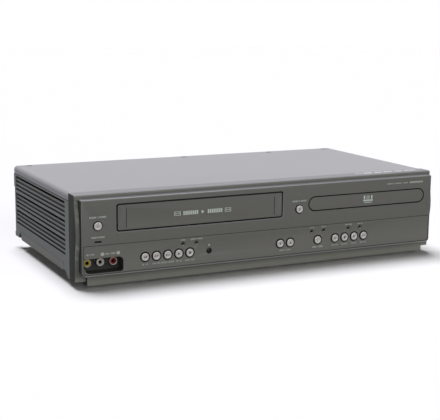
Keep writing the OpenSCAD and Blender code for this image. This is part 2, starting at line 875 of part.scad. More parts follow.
// Bottom pan: floor, and a side flange with a rounded front end on each side
module bottom_pan() {
    color(steel)
        difference() {
            union() {
                block(-side_in + 0.3, side_in - 0.3, rim_back - 3, rear_d - 0.1, foot_h, pan_top);
                block(-side_out, side_out, pan_flange_d0 + 4, pan_flange_d1, foot_h, pan_top);
                for (s = [-1, 1])
                    sweep_x(s > 0 ? side_out - sheet_t : -side_out, s > 0 ? side_out : -side_out + sheet_t)
                        corner_rect(pan_flange_d0, pan_flange_d1, foot_h, foot_h + pan_flange, pan_flange_r);
            }
            pan_vents();
        }
}

module feet() {
    edge = 1.5;
    color(black_plastic)
        for (x = [-foot_x, foot_x])
            for (d = [foot_front_d, foot_rear_d])
                translate([x, face_y + d, 0])
                    rotate_extrude()
                        polygon([
                            [0, 0], [foot_r - edge, 0], [foot_r, edge], [foot_r, foot_h], [0, foot_h]
                        ]);
}

// Top cover: folded sheet with two side flanges, tabs and slots along its rear edge
module top_cover() {
    color(cover_grey) {
        difference() {
            plate_y(rim_back + seam_gap, body_d - rim_back - seam_gap)
                difference() {
                    corner_rect(-half_w, half_w, body_h - 3 * cover_flange, body_h, [1, 1, cover_r, cover_r]);
                    corner_rect(-half_w + sheet_t, half_w - sheet_t, body_h - 4 * cover_flange,
                        body_h - sheet_t, [1, 1, cover_r - sheet_t, cover_r - sheet_t]);
                    translate([-body_w, body_h - 5 * cover_flange])
                        square([2 * body_w, 4 * cover_flange]);
                }
            for (x = cover_slot_x)
                block(x - slot_w / 2, x + slot_w / 2, rear_d - slot_len / 2, rear_d + slot_len / 2,
                    body_h - 3, body_h + 1);
        }
        for (x = screw_x)
            difference() {
                block(x - 6, x + 6, rear_d + rear_t + 0.1, rear_d + rear_t + 0.1 + sheet_t,
                    screw_z - 4, body_h - sheet_t + eps);
                bar_y(x, screw_z, rear_d, rear_d + 4, screw_r + 0.1);
            }
    }
}

module cover_screws() {
    head_d = rear_d + rear_t + 0.1 + sheet_t;
    color(metal_dark)
        for (x = screw_x) {
            bar_y(x, screw_z, rear_d - 4, head_d + eps, screw_r);
            bar_y(x, screw_z, head_d, head_d + 1.8, screw_head_r);
        }
}

// Side outline of a side panel, in depth and z
module side_outline() {
    blend0 = rim_back + 4.5;
    blend1 = pan_flange_d0 - 5.5;
    low = rim_z0 - 1;
    steps = 8;
    notch_d = pan_flange_d1 + 5;
    notch_r = 4.4;
    notch_rise = 2.2;
    hook_r = 3;
    difference() {
        polygon(concat(
            [[side_end_d, side_z1], [rim_back + seam_gap, side_z1], [rim_back + seam_gap, low]],
            [for (i = [0:steps]) [
                blend0 + (blend1 - blend0) * i / steps,
                low + (side_z0 - low) * (1 - cos(180 * i / steps)) / 2
            ]],
            [[side_end_d, side_z0]]
        ));
        translate([notch_d, side_z0 + notch_rise])
            circle(notch_r);
        translate([notch_d - notch_r, side_z0 - 1])
            square([2 * notch_r, notch_rise + 1]);
    }
    translate([body_d + rear_proud - hook_r, side_z0 + hook_r])
        circle(hook_r);
}

// Left side panel: three groups under a sloping step, each an open slot over three grooves
module side_panel_left() {
    groups = 3;
    grooves = 3;
    color(side_grey)
        difference() {
            union() {
                sweep_x(-side_out, -side_in)
                    side_outline();
                block(-side_out + sheet_t + 0.2, -side_in, rim_back + seam_gap, side_end_d,
                    side_z1 - 3, side_z1 + 3.5);
            }
            block(-half_w - 1, -side_out + sheet_t + seat_gap, pan_flange_d0 - 0.4, pan_flange_d1 + 0.4,
                side_z0 - 1, foot_h + pan_flange + 0.2);
            for (g = [0:groups - 1]) {
                z0 = rim_z0 + louvre_z + g * group_pitch;
                slot_z = z0 + grooves * louvre_pitch - louvre_h / 2;
                top = slot_z + louvre_h + louvre_slot_rise;
                low = z0 - louvre_h / 2 - 1;
                plate_y(louvre_d0, louvre_d1 - louvre_d0)
                    polygon([[-half_w - 1, low], [-side_out, low], [-side_out + louvre_step, top], [-half_w - 1, top]]);
                for (i = [0:grooves - 1]) {
                    z = z0 + i * louvre_pitch;
                    block(-half_w - 1, -side_in - groove_floor, louvre_d0, louvre_d1, z - louvre_h / 2,
                        z + louvre_h / 2);
                }
                block(-half_w - 1, -side_in - groove_floor, louvre_d0, louvre_d1, slot_z, top);
                block(-half_w - 1, -side_in + 1, louvre_d0, vent_d1, slot_z, top);
            }
        }
}

module side_panel_right() {
    mirror([1, 0, 0])
        side_panel_left();
}

module jack_hole(x, z) {
    bar_y(x, z, rear_d - 1, rear_d + rear_t + 1, neck_r + 0.2);
}

// Rear panel: plate with hooks into the cover, corner ears, vents and connector holes
module rear_panel() {
    color(side_grey)
        difference() {
            union() {
                block(-side_in + 0.2, side_in - 0.2, rear_d, rear_d + rear_t, pan_top + 0.1, rear_z1);
                for (x = cover_slot_x)
                    block(x - tab_w / 2, x + tab_w / 2, rear_d, rear_d + rear_t, rear_z1 - 1, body_h - tab_sink);
                for (s = [-1, 1]) {
                    x0 = s > 0 ? side_in - ear_w : -side_out;
                    x1 = s > 0 ? side_out : -side_in + ear_w;
                    block(x0, x1, side_end_d + 0.2, body_d + rear_proud, ear_z0, ear_z1);
                    block(s > 0 ? side_in - ear_w : -side_in + 0.2, s > 0 ? side_in - 0.2 : -side_in + ear_w,
                        rear_d + rear_t - eps, side_end_d + 0.3, ear_z0, ear_z1);
                }
            }
            for (x = screw_x)
                bar_y(x, screw_z, rear_d - 1, rear_d + rear_t + 1, screw_r + 0.1);
            for (i = [0:2])
                for (z = rear_jack_z)
                    jack_hole(rear_jack_x + i * rear_jack_pitch, z);
            for (z = rear_jack_z)
                bar_y(aerial_x, z, rear_d - 1, rear_d + rear_t + 1, shoulder_r + 0.2);
            bar_y(cord_x, cord_z, rear_d - 1, rear_d + rear_t + 1, cord_r + 0.1);
            for (i = [0:9])
                for (z = [60, 74])
                    block(70 + i * 8, 73 + i * 8, rear_d - 1, rear_d + rear_t + 1, z, z + 10);
        }
}

module cord_bushing() {
    color(black_plastic)
        difference() {
            union() {
                bar_y(cord_x, cord_z, rear_d - 3, rear_d + rear_t + 1, cord_r);
                bar_y(cord_x, cord_z, rear_d - 4, rear_d - 0.05, cord_r + 1.2);
                bar_y(cord_x, cord_z, rear_d + rear_t + 0.05, rear_d + rear_t + 3, cord_r + 1.5);
            }
            bar_y(cord_x, cord_z, rear_d - 5, rear_d + rear_t + 4, 3);
        }
}

// Plated shell of one jack, from its neck to its mouth, pointing to the front
module jack_shell(neck, rim) {
    rotate([90, 0, 0])
        difference() {
            union() {
                translate([0, 0, -neck])
                    cylinder(h = neck + eps, r = neck_r);
                cylinder(h = shoulder_t, r = rim);
                cylinder(h = shoulder_t + jack_len, r = jack_r);
            }
            translate([0, 0, -neck - 1])
                cylinder(h = neck + jack_len + shoulder_t + 2, r = insert_r);
        }
}

module jack_insert(neck) {
    rotate([90, 0, 0])
        difference() {
            translate([0, 0, -neck])
                cylinder(h = neck + jack_len + shoulder_t - 0.4, r = insert_r - 0.05);
            translate([0, 0, jack_len + shoulder_t - 8])
                cylinder(h = 12, r = jack_hole_r);
        }
}

// Places its child at front jack i
module at_front_jack(i) {
    translate([front_jack_x + i * front_jack_pitch, face_y + recess_d, front_jack_z])
        children();
}

// Places its child at rear jack i of each row, turned to the back
module at_rear_jack(i) {
    for (z = rear_jack_z)
        translate([rear_jack_x + i * rear_jack_pitch, face_y + rear_d + rear_t, z])
            rotate([0, 0, 180])
                children();
}

module front_jack_shells() {
    color(steel)
        for (i = [0:2])
            at_front_jack(i) jack_shell(recess_floor_t, front_shoulder_r);
}

// Rear jack shells and the two aerial connectors
module rear_connectors() {
    color(steel) {
        for (i = [0:2])
            at_rear_jack(i) jack_shell(rear_t, shoulder_r);
        for (z = rear_jack_z)
            difference() {
                union() {
                    bar_y(aerial_x, z, rear_d, rear_d + rear_t + eps, shoulder_r);
                    bar_y(aerial_x, z, rear_d + rear_t, rear_d + rear_t + jack_len, shoulder_r - 0.5);
                }
                bar_y(aerial_x, z, rear_d + 2, rear_d + rear_t + jack_len + 1, 3.2);
            }
    }
}

module jack_inserts(i, tint) {
    color(tint) {
        at_front_jack(i) jack_insert(recess_floor_t);
        at_rear_jack(i) jack_insert(rear_t);
    }
}

module front_jack_block() {
    d0 = recess_d + recess_floor_t;
    x0 = front_jack_x - 6;
    color(black_plastic)
        block(x0, x0 + 2 * front_jack_pitch + 12, d0 + 0.05, d0 + block_t, front_jack_z - 7, front_jack_z + 6);
}

module rear_jack_block() {
    color(black_plastic) {
        block(rear_jack_x - 7, rear_jack_x + 2 * rear_jack_pitch + 7, rear_d - block_t, rear_d - 0.05,
            board_z + board_t + 0.1, rear_jack_z[1] + 7);
        block(aerial_x - 9, aerial_x + 9, rear_d - block_t, rear_d - 0.05,
            board_z + board_t + 0.1, rear_jack_z[1] + 9);
    }
}

module board_plate(x0, x1, d0, d1) {
    block(x0, x1, d0, d1, board_z, board_z + board_t);
    for (x = [x0 + 8, x1 - 8])
        for (d = [d0 + 8, d1 - 8])
            post(x, d, pan_top, board_z + eps, standoff_r);
}

// Main board on its standoffs, with flat parts that clear the flywheel
module main_board() {
    top = board_z + board_t - eps;
    color(board_green) {
        difference() {
            board_plate(main_x0, main_x1, main_d0, main_d1);
            for (x = deck_leg_x)
                post(x, deck_d1 - deck_leg_gap, pan_top, board_z + 5, deck_leg_r + 1);
        }
        chip(chip_edge, chip_edge, chip_w, chip_w);
        chip(chip_edge + 2 * chip_w, chip_edge, 0.7 * chip_w, 0.7 * chip_w);
        chip(chip_edge + 4 * chip_w, chip_edge + chip_w / 2, chip_w / 2, chip_w);
        for (i = [0:4])
            post(main_x0 + filter_pitch * (i + 1), main_d0 + filter_pitch, top, top + filter_h, filter_r);
        for (i = [0:3])
            post(main_x0 + 2 * chip_edge + filter_pitch * (i + 1), main_d0 + 3 * chip_edge, top,
                top + filter_h, filter_r);
    }
}

// Flat chip on the main board at a place measured from the board's front left corner
module chip(x, d, w, l) {
    top = board_z + board_t - eps;
    block(main_x0 + x, main_x0 + x + w, main_d0 + d, main_d0 + d + l, top, top + chip_h);
}

// Power board with its capacitors and heat sink
module power_board() {
    top = board_z + board_t - eps;
    color(board_green) {
        board_plate(power_x0, power_x1, power_d0, power_d1);
        post(power_x0 + can_edge, power_d0 + can_edge, top, top + can_h, can_r);
        post(power_x0 + 2 * can_edge, power_d0 + can_edge, top, top + 0.8 * can_h, 0.8 * can_r);
        post(power_x1 - can_edge, power_d0 + can_edge, top, top + 0.7 * can_h, 0.7 * can_r);
        block(power_x0 + can_edge, power_x0 + can_edge + sink_t, coil_d0, power_d1 - sink_gap, top, top + 0.9 * can_h);
        for (i = [0:3])
            post(coil_x + filter_pitch * i, power_d0 + filter_pitch, top, top + filter_h, filter_r);
    }
}

// Transformer: core flanges above and below the winding
module transformer() {
    z0 = board_z + board_t + 0.05;
    flange = 5;
    inset = 4;
    winding = 15;
    color([0.8, 0.7, 0.2]) {
        block(coil_x, coil_x + coil_w, coil_d0, coil_d0 + coil_d, z0, z0 + flange);
        block(coil_x + inset, coil_x + coil_w - inset, coil_d0 + inset, coil_d0 + coil_d - inset,
            z0 + flange - eps, z0 + flange + winding);
        block(coil_x, coil_x + coil_w, coil_d0, coil_d0 + coil_d, z0 + flange + winding - eps,
            z0 + flange + winding + 4);
    }
}

// Deck chassis: plate on legs, side brackets with slider rails, reel posts and bearings
module deck_chassis() {
    wall_d1 = holder_d + holder_len + load_travel + 2;
    color(steel)
        difference() {
            union() {
                block(door_x - bracket_x - bracket_t, door_x + bracket_x + bracket_t, deck_d0, deck_d1,
                    deck_z, deck_z + deck_t);
                for (x = deck_leg_x)
                    for (d = [deck_d0 + deck_leg_gap, deck_d1 - deck_leg_gap])
                        post(x, d, pan_top, deck_z + eps, deck_leg_r);
                for (s = [-1, 1]) {
                    x_in = door_x + s * bracket_x;
                    x_out = x_in + s * bracket_t;
                    x_rail = x_in - s * slider_t;
                    block(min(x_in, x_out), max(x_in, x_out), deck_d0, wall_d1, deck_z, bay_z1 + 1);
                    for (z = [slider_z0 - slide_gap - rail_h, slider_z1 + slide_gap])
                        block(min(x_rail, x_out), max(x_rail, x_out), deck_d0, wall_d1, z, z + rail_h);
                }
                for (s = [-1, 1])
                    post(door_x + s * reel_pitch / 2, reel_d, deck_z, deck_z + deck_t + 12, post_r);
                post(capstan_x, capstan_d, deck_z, deck_z + deck_t + 6, 5);
                post(pinch_pivot()[0], pinch_pivot()[1], deck_z, deck_z + deck_t + 13, post_r);
                post(pinch_pivot()[0], pinch_pivot()[1], deck_z, arm_z - 1.8, post_r + 2);
            }
            post(capstan_x, capstan_d, deck_z - 1, deck_z + deck_t + 8, capstan_r + run_fit);
        }
}

// Slider plates at both sides of the holder, with an upright slot for each holder pin
module loading_sliders() {
    play = 0.2;
    pin_top = holder_pin_z + holder_pin_r + play;
    pin_low = holder_pin_z - holder_pin_r - play - drop_travel;
    color(metal_dark)
        for (s = [-1, 1])
            difference() {
                x_in = door_x + s * slider_x;
                x_out = x_in + s * slider_t;
                block(min(x_in, x_out), max(x_in, x_out), holder_d, holder_d + holder_len, slider_z0, slider_z1);
                for (d = holder_pins())
                    block(min(x_in, x_out) - 1, max(x_in, x_out) + 1, d - holder_pin_r - play,
                        d + holder_pin_r + play, max(pin_low, slider_z0 + 1.5), pin_top);
            }
}

function holder_pins() = [holder_d + 12, holder_d + holder_len - 12];

// Cassette holder: open cage of two side plates with lower lips, joined across the top
module cassette_holder() {
    d1 = holder_d + holder_len;
    lip = 8;
    half = cassette_w / 2;
    color(steel)
        difference() {
            union() {
                for (s = [-1, 1]) {
                    x_in = door_x + s * half;
                    x_out = x_in + s * holder_t;
                    x_lip = x_in - s * lip;
                    block(min(x_in, x_out), max(x_in, x_out), holder_d, d1, bay_z0 - holder_t, bay_z1 + holder_t);
                    block(min(x_lip, x_out), max(x_lip, x_out), holder_d, d1, bay_z0 - holder_t, bay_z0);
                    for (d = holder_pins())
                        bar_x(min(x_in, x_out) - (s < 0 ? slider_t + slide_gap : 0),
                            max(x_in, x_out) + (s > 0 ? slider_t + slide_gap : 0), d, holder_pin_z, holder_pin_r);
                }
                block(door_x - half - holder_t, door_x + half + holder_t, holder_d, d1, bay_z1, bay_z1 + holder_t);
            }
            for (s = [-1, 1])
                block(door_x + s * 48 - 26, door_x + s * 48 + 26, holder_d + 14, d1 - 14, bay_z1 - 1, bay_z1 + 3);
        }
}

// Reel table: toothed rim, hub and three drive ribs
module reel(x) {
    z0 = deck_z + deck_t + 0.4;
    hub = 8.5;
    color(white_plastic)
        difference() {
            union() {
                post(x, reel_d, z0, z0 + 3, reel_r);
                post(x, reel_d, z0 + 3 - eps, z0 + 12, hub);
                for (a = [0, 120, 240])
                    translate([x, face_y + reel_d, z0 + 3])
                        rotate([0, 0, a])
                            translate([hub - 1, -1, 0])
                                cube([3.2, 2, 10]);
            }
            post(x, reel_d, z0 - 1, z0 + 20, post_r + run_fit);
        }
}

module supply_reel() {
    reel(door_x - reel_pitch / 2);
}

module takeup_reel() {
    reel(door_x + reel_pitch / 2);
}

drum_z = pan_top + deck_rise + deck_t + 6;
drum_low_h = 11;
drum_high_h = 13;

// Leans its child with the head drum
module at_drum() {
    translate([drum_x, face_y + drum_d, drum_z])
        rotate([0, drum_lean, 0])
            children();
}

module lower_drum() {
    color(steel) {
        at_drum() {
            cylinder(h = drum_low_h, r = drum_r - 0.1);
            cylinder(h = drum_low_h + drum_high_h + 2, r = 3);
        }
        post(drum_x, drum_d, deck_z + deck_t, drum_z + 2, drum_r - 8);
    }
}

module upper_drum() {
    color(steel)
        at_drum()
            difference() {
                union() {
                    translate([0, 0, drum_low_h + 0.3])
                        cylinder(h = drum_high_h - 3, r = drum_r);
                    translate([0, 0, drum_low_h + drum_high_h - 3])
                        cylinder(h = 3, r = drum_r - 5);
                }
                cylinder(h = 60, r = 3 + run_fit);
            }
}

// Capstan shaft with its flywheel below the deck plate
module capstan() {
    wheel_z = deck_z - 9;
    color(steel) {
        post(capstan_x, capstan_d, wheel_z, deck_z + deck_t + 22, capstan_r);
        post(capstan_x, capstan_d, wheel_z, wheel_z + 6, 20);
        post(capstan_x, capstan_d, wheel_z + 6 - eps, wheel_z + 8, 5);
    }
}

arm_len = 22;
arm_z = pan_top + deck_rise + deck_t + 8;
function pinch_pivot() = [capstan_x + capstan_r + roller_r + 6, capstan_d + arm_len];
function pinch_roller_at() = [pinch_pivot()[0], capstan_d];

// Arm that carries the pinch roller, shown swung away from the capstan
module pinch_arm() {
    z0 = arm_z;
    p = pinch_pivot();
    r = pinch_roller_at();
    color(metal_dark)
        difference() {
            union() {
                post(p[0], p[1], z0 - 1.4, z0 + 3, post_r + 2);
                block(p[0] - 3, p[0] + 3, r[1], p[1], z0, z0 + 1.5);
                post(r[0], r[1], z0, z0 + 1.5, 3.5);
                post(r[0], r[1], z0, z0 + 13.5, 1);
            }
            post(p[0], p[1], z0 - 5, z0 + 6, post_r + run_fit);
        }
}

module pinch_roller() {
    z0 = arm_z;
    r = pinch_roller_at();
    color(black_plastic)
        difference() {
            post(r[0], r[1], z0 + 1.7, z0 + 12.7, roller_r);
            post(r[0], r[1], z0, z0 + 20, 1 + run_fit);
        }
}

// Drive frame: open tub with tray rails, motor bosses and four legs
module drive_frame() {
    z1 = bridge_z;
    color(black_plastic)
        difference() {
            union() {
                difference() {
                    block(tray_x - drive_out, tray_x + drive_out, drive_d0, drive_d1, drive_z, z1);
                    block(tray_x - drive_in, tray_x + drive_in, drive_d0 - 1, drive_d1 - drive_wall,
                        drive_z + drive_t, z1 + 1);
                    block(tray_x - 45, tray_x + 45, disc_d - 30, disc_d + 90, drive_z - 1, drive_z + drive_t + 1);
                }
                for (s = [-1, 1])
                    for (z = [tray_z0 - slide_gap - rail_t, tray_z1 + slide_gap])
                        block(min(tray_x + s * (drive_in - rail_w), tray_x + s * (drive_in + 1)),
                            max(tray_x + s * (drive_in - rail_w), tray_x + s * (drive_in + 1)),
                            drive_d0, tray_d1 + 4, z, z + rail_t);
                for (s = [-1, 1])
                    for (d = [drive_d0 + drive_leg_gap, drive_d1 - drive_leg_gap])
                        post(tray_x + s * (drive_in - 4), d, pan_top, drive_z + eps, drive_leg_r);
                post(gear_x, gear_d, drive_z, rack_z0 + gear_t + 0.4, post_r);
                post(gear_x, gear_d, drive_z, rack_z0 - 0.2, post_r + 2);
                difference() {
                    block(tray_x - 48, tray_x + 48, disc_d - 33, rod_d1 + 6, traverse_z, traverse_z + traverse_t);
                    block(tray_x - rod_pitch / 2 + 5, tray_x + rod_pitch / 2 - 5, rod_d0 + 6,
                        rod_d1 - 6, traverse_z - 1, traverse_z + traverse_t + 1);
                }
                for (s = [-1, 1])
                    for (d = [disc_d - 31.5, rod_d1 + 4.5])
                        post(tray_x + s * 46.5, d, drive_z, traverse_z + eps, 2.5);
                post(tray_x, disc_d, traverse_z, traverse_z + traverse_t + 4, 12);
                post(tray_x, disc_d, traverse_z, turntable_z - 1, 1.5);
                for (s = [-1, 1])
                    for (d = [rod_d0, rod_d1 - 4])
                        block(tray_x + s * rod_pitch / 2 - 3, tray_x + s * rod_pitch / 2 + 3, d, d + 4,
                            traverse_z, rod_z);
            }
            for (s = [-1, 1])
                bar_y(tray_x + s * rod_pitch / 2, rod_z, rod_d0 + 1, rod_d1 - 1, rod_r + 0.02);
        }
}

module guide_rods() {
    color(steel)
        for (s = [-1, 1])
            bar_y(tray_x + s * rod_pitch / 2, rod_z, rod_d0 + 1.1, rod_d1 - 1.1, rod_r);
}

// Optical pickup: body on two rods, with its lens turret
module optical_pickup() {
    z0 = traverse_z + traverse_t + 0.8;
    z1 = rod_z + 3;
    x1 = rod_pitch / 2 + 3;
    color(black_plastic)
        difference() {
            union() {
                block(tray_x - x1, tray_x + x1, pickup_d, pickup_d + pickup_len, z0, z1);
                post(tray_x, pickup_d + 7, z1 - eps, z1 + 2.4, 5);
            }
            for (s = [-1, 1])
                bar_y(tray_x + s * rod_pitch / 2, rod_z, pickup_d - 1, pickup_d + pickup_len + 1, rod_r + run_fit);
            post(tray_x, pickup_d + 7, z1 + 1.4, z1 + 4, 3);
        }
}

// Turntable: motor bell, disc seat and centring cone on one bore
module turntable() {
    z0 = traverse_z + traverse_t + 4.3;
    color(steel)
        translate([tray_x, face_y + disc_d, 0])
            difference() {
                rotate_extrude()
                    polygon([
                        [0, z0], [12, z0], [12, z0 + 4], [5, z0 + 4], [5, turntable_z - 2],
                        [turntable_r, turntable_z - 2], [turntable_r, turntable_z], [7.4, turntable_z],
                        [7.2, turntable_z + 1.2], [4.5, turntable_z + 2.6], [0, turntable_z + 2.6]
                    ]);
                translate([0, 0, z0 - 1])
                    cylinder(h = turntable_z - 1 - z0 + 1.2, r = 1.5 + run_fit);
            }
}

// Straight sided rack under the tray, teeth towards the gear
module rack() {
    m = gear_module;
    pitch = m * PI;
    n0 = floor((gear_d - rack_d0) / pitch);
    n1 = floor((rack_d1 - gear_d) / pitch);
    tilt = m * tan(20);
    half = m * PI / 4 - gear_play / 2;
    back = rack_x - 4;
    teeth = [for (i = [-n0:n1]) let (d = gear_d + i * pitch) each [
        [rack_x - 1.25 * m, d - half - 1.25 * tilt],
        [rack_x + m, d - half + tilt],
        [rack_x + m, d + half - tilt],
        [rack_x - 1.25 * m, d + half + 1.25 * tilt]
    ]];
    first = gear_d - (n0 + 0.5) * pitch;
    last = gear_d + (n1 + 0.5) * pitch;
    polygon(concat([[back, first], [rack_x - 1.25 * m, first]], teeth, [[rack_x - 1.25 * m, last], [back, last]]));
}

function involute(rb, a) = [rb * (cos(a) + a * PI / 180 * sin(a)), rb * (sin(a) - a * PI / 180 * cos(a))];
function roll_angle(rb, r) = r <= rb ? 0 : sqrt(pow(r / rb, 2) - 1) * 180 / PI;
function turned(p, a) = [p[0] * cos(a) - p[1] * sin(a), p[0] * sin(a) + p[1] * cos(a)];

// Involute spur gear with a tooth space towards the rack
module gear_outline() {
    m = gear_module;
    rb = gear_r * cos(20);
    ro = gear_r + m - 0.1;
    rr = gear_r - 1.25 * m;
    steps = 5;
    inv20 = (tan(20) - 20 * PI / 180) * 180 / PI;
    half = 90 / gear_teeth + inv20 - gear_play / 2 / gear_r * 180 / PI;
    a1 = roll_angle(rb, ro);
    flank = [for (i = [0:steps]) involute(rb, a1 * i / steps)];
    polygon([for (t = [0:gear_teeth - 1]) each concat(
        [turned([rr, 0], 360 * t / gear_teeth - half)],
        [for (i = [0:steps]) turned(flank[i], 360 * t / gear_teeth - half)],
        [for (i = [steps:-1:0]) turned([flank[i][0], -flank[i][1]], 360 * t / gear_teeth + half)],
        [turned([rr, 0], 360 * t / gear_teeth + half)]
    )]);
}

module tray_gear() {
    color(white_plastic)
        translate([gear_x, face_y + gear_d, rack_z0])
            difference() {
                linear_extrude(gear_t)
                    rotate([0, 0, 180 + 180 / gear_teeth])
                        gear_outline();
                translate([0, 0, -1])
                    cylinder(h = gear_t + 2, r = post_r + run_fit);
            }
}

// Disc tray: plate with stepped recesses, slot to its rear edge and rack below
module disc_tray() {
    x0 = tray_x - tray_w / 2;
    x1 = tray_x + tray_w / 2;
    slot = tray_slot_w / 2;
    color(body_grey) {
        difference() {
            block(x0, x1, tray_d0, tray_d1, tray_z0, tray_z1);
            post(tray_x, disc_d, disc_z, tray_z1 + 1, disc_r);
            post(tray_x, disc_d, disc_z - 1, tray_z1 + 1, small_disc_r);
            post(tray_x, disc_d, tray_z0 - 1, tray_z1 + 1, slot);
            block(tray_x - slot, tray_x + slot, disc_d, tray_d1 + 1, tray_z0 - 1, tray_z1 + 1);
        }
        sweep_z(rack_z0, tray_z0 + eps)
            rack();
    }
}

// Tray front with its flat back, glued to the tray
module tray_front() {
    color(body_grey)
        plate_y(0, tray_front_t - 0.02)
            pill(tray_x, tray_mid_z, tray_front_w, tray_front_h);
}

// Bridge across the drive that holds the clamp puck over the turntable
module clamp_bridge() {
    color(steel)
        difference() {
            block(tray_x - drive_out, tray_x + drive_out, disc_d - bridge_half, disc_d + bridge_half,
                bridge_z, bridge_z + bridge_t);
            post(tray_x, disc_d, bridge_z - 1, bridge_z + bridge_t + 1, puck_r + 0.4);
        }
}

module clamp_puck() {
    low = bridge_z - 1.8;
    color(black_plastic)
        translate([tray_x, face_y + disc_d, 0])
            rotate_extrude()
                polygon([
                    [0, low], [puck_r, low], [puck_r, bridge_z + bridge_t + 0.1],
                    [puck_r + 3, bridge_z + bridge_t + 0.1], [puck_r + 3, bridge_z + bridge_t + 1.2],
                    [0, bridge_z + bridge_t + 1.2]
                ]);
}

top_cover();
side_panel_left();
side_panel_right();
bottom_pan();
rear_panel();
feet();
cover_screws();
cord_bushing();
front_bezel();
control_panel();
jack_recess();
sensor_window();
indicator_lights();
standby_window();
push_button("button_standby");  // button_standby
push_button("button_tray");  // button_tray
push_button("button_tape_1");  // button_tape_1
push_button("button_tape_2");  // button_tape_2
push_button("button_tape_3");  // button_tape_3
push_button("button_tape_4");  // button_tape_4
push_button("button_tape_5");  // button_tape_5
push_button("button_tracking_1");  // button_tracking_1
push_button("button_tracking_2");  // button_tracking_2
push_button("button_source");  // button_source
push_button("button_disc_1");  // button_disc_1
push_button("button_disc_2");  // button_disc_2
push_button("button_disc_3");  // button_disc_3
push_button("button_disc_4");  // button_disc_4
front_board();
main_board();
power_board();
transformer();
front_jack_block();
rear_jack_block();
front_jack_shells();
rear_connectors();
jack_inserts(0, "gold");  // jack_inserts_yellow
jack_inserts(1, white_plastic);  // jack_inserts_white
jack_inserts(2, "firebrick");  // jack_inserts_red
cassette_flap();
deck_chassis();
loading_sliders();
cassette_holder();
supply_reel();
takeup_reel();
lower_drum();
upper_drum();
capstan();
pinch_arm();
pinch_roller();
drive_frame();
disc_tray();
tray_front();
tray_gear();
turntable();
optical_pickup();
guide_rods();
clamp_bridge();
clamp_puck();
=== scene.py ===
"""Looks of a disc and video cassette combo player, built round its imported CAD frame.

Lengths are metres in the frame of the CAD model: x to the right, y to the back, z up.
"""

from __future__ import annotations

import logging
import math
from dataclasses import dataclass, field, replace
from enum import Enum
from functools import lru_cache, reduce
from typing import Any, Mapping, Optional, Sequence, Union

import bmesh
import bpy
import numpy as np
from mathutils import Matrix, Vector


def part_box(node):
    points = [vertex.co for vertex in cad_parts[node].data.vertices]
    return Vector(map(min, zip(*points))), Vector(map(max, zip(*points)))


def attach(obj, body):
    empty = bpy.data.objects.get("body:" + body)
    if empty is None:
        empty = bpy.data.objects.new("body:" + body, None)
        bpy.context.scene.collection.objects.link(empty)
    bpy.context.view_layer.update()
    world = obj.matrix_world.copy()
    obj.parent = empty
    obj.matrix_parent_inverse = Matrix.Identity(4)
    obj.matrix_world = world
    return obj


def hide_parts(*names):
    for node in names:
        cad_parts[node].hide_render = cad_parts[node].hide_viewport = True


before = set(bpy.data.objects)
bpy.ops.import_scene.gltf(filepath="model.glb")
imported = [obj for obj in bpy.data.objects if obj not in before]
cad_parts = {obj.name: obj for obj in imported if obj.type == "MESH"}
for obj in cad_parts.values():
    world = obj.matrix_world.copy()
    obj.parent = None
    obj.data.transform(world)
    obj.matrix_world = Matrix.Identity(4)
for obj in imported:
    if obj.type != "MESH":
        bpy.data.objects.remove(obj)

MM = 0.001
Array = np.ndarray
Triple = tuple[float, float, float]
Colour = Triple
WHITE = (1.0, 1.0, 1.0)
Number = Union["Value", float]
log = logging.getLogger("player")

# Distance in metres within which doubled points merge
MERGE = 1.5e-6
# Angles in degrees: up to which copied faces join, and from which edges stay sharp
FLAT = 0.4
SMOOTH_COPY = 30.0
SMOOTH = 32.0
SMOOTH_JACK = 35.0
SOFT_EDGE = 40.0
SMOOTH_LENS = 50.0


# ---------------------------------------------------------------- shader graphs


class Value:
    """A shader socket that Python arithmetic extends with Math nodes."""

    def __init__(self, graph: "Graph", socket: bpy.types.NodeSocket) -> None:
        """Keeps the graph and the output socket that this value comes from."""
        self.graph = graph
        self.socket = socket

    def _math(self, operation: str, *terms: Number) -> "Value":
        """Adds one Math node.

        Args:
            operation: Blender's name of the operation.
            terms: numbers or values, in the order of the node's inputs.

        Returns:
            The node's result.
        """
        return self.graph.add("ShaderNodeMath", {"operation": operation}, dict(enumerate(terms)))

    def __add__(self, other: Number) -> "Value":
        """This value plus another."""
        return self._math("ADD", self, other)

    def __radd__(self, other: Number) -> "Value":
        """A number plus this value."""
        return self._math("ADD", other, self)

    def __sub__(self, other: Number) -> "Value":
        """This value less another."""
        return self._math("SUBTRACT", self, other)

    def __rsub__(self, other: Number) -> "Value":
        """A number less this value."""
        return self._math("SUBTRACT", other, self)

    def __mul__(self, other: Number) -> "Value":
        """This value times another."""
        return self._math("MULTIPLY", self, other)

    def __rmul__(self, other: Number) -> "Value":
        """A number times this value."""
        return self._math("MULTIPLY", other, self)

    def __pow__(self, other: Number) -> "Value":
        """This value raised to a power."""
        return self._math("POWER", self, other)

    def sine(self) -> "Value":
        """Sine of this value in radians."""
        return self._math("SINE", self)

    def maximum(self, other: Number) -> "Value":
        """The larger of this value and another."""
        return self._math("MAXIMUM", self, other)

    def size(self) -> "Value":
        """This value without its sign."""
        return self._math("ABSOLUTE", self)

    def above(self, limit: Number) -> "Value":
        """One where this value is more than the limit, else zero."""
        return self._math("GREATER_THAN", self, limit)

    def ramp(self, low: float, high: float) -> "Value":
        """Smooth step of this value.

        Args:
            low: where the step is still zero.
            high: where it has reached one.

        Returns:
            The stepped value, held between zero and one.
        """
        settings = {"interpolation_type": "SMOOTHSTEP", "clamp": True}
        sockets = {0: self, 1: low, 2: high, 3: 0.0, 4: 1.0}
        return self.graph.add("ShaderNodeMapRange", settings, sockets)


class Reading(Enum):
    """What a finish reads from the surface, by the output that gives it."""

    PLACE = "Object"
    WAY = "Normal"


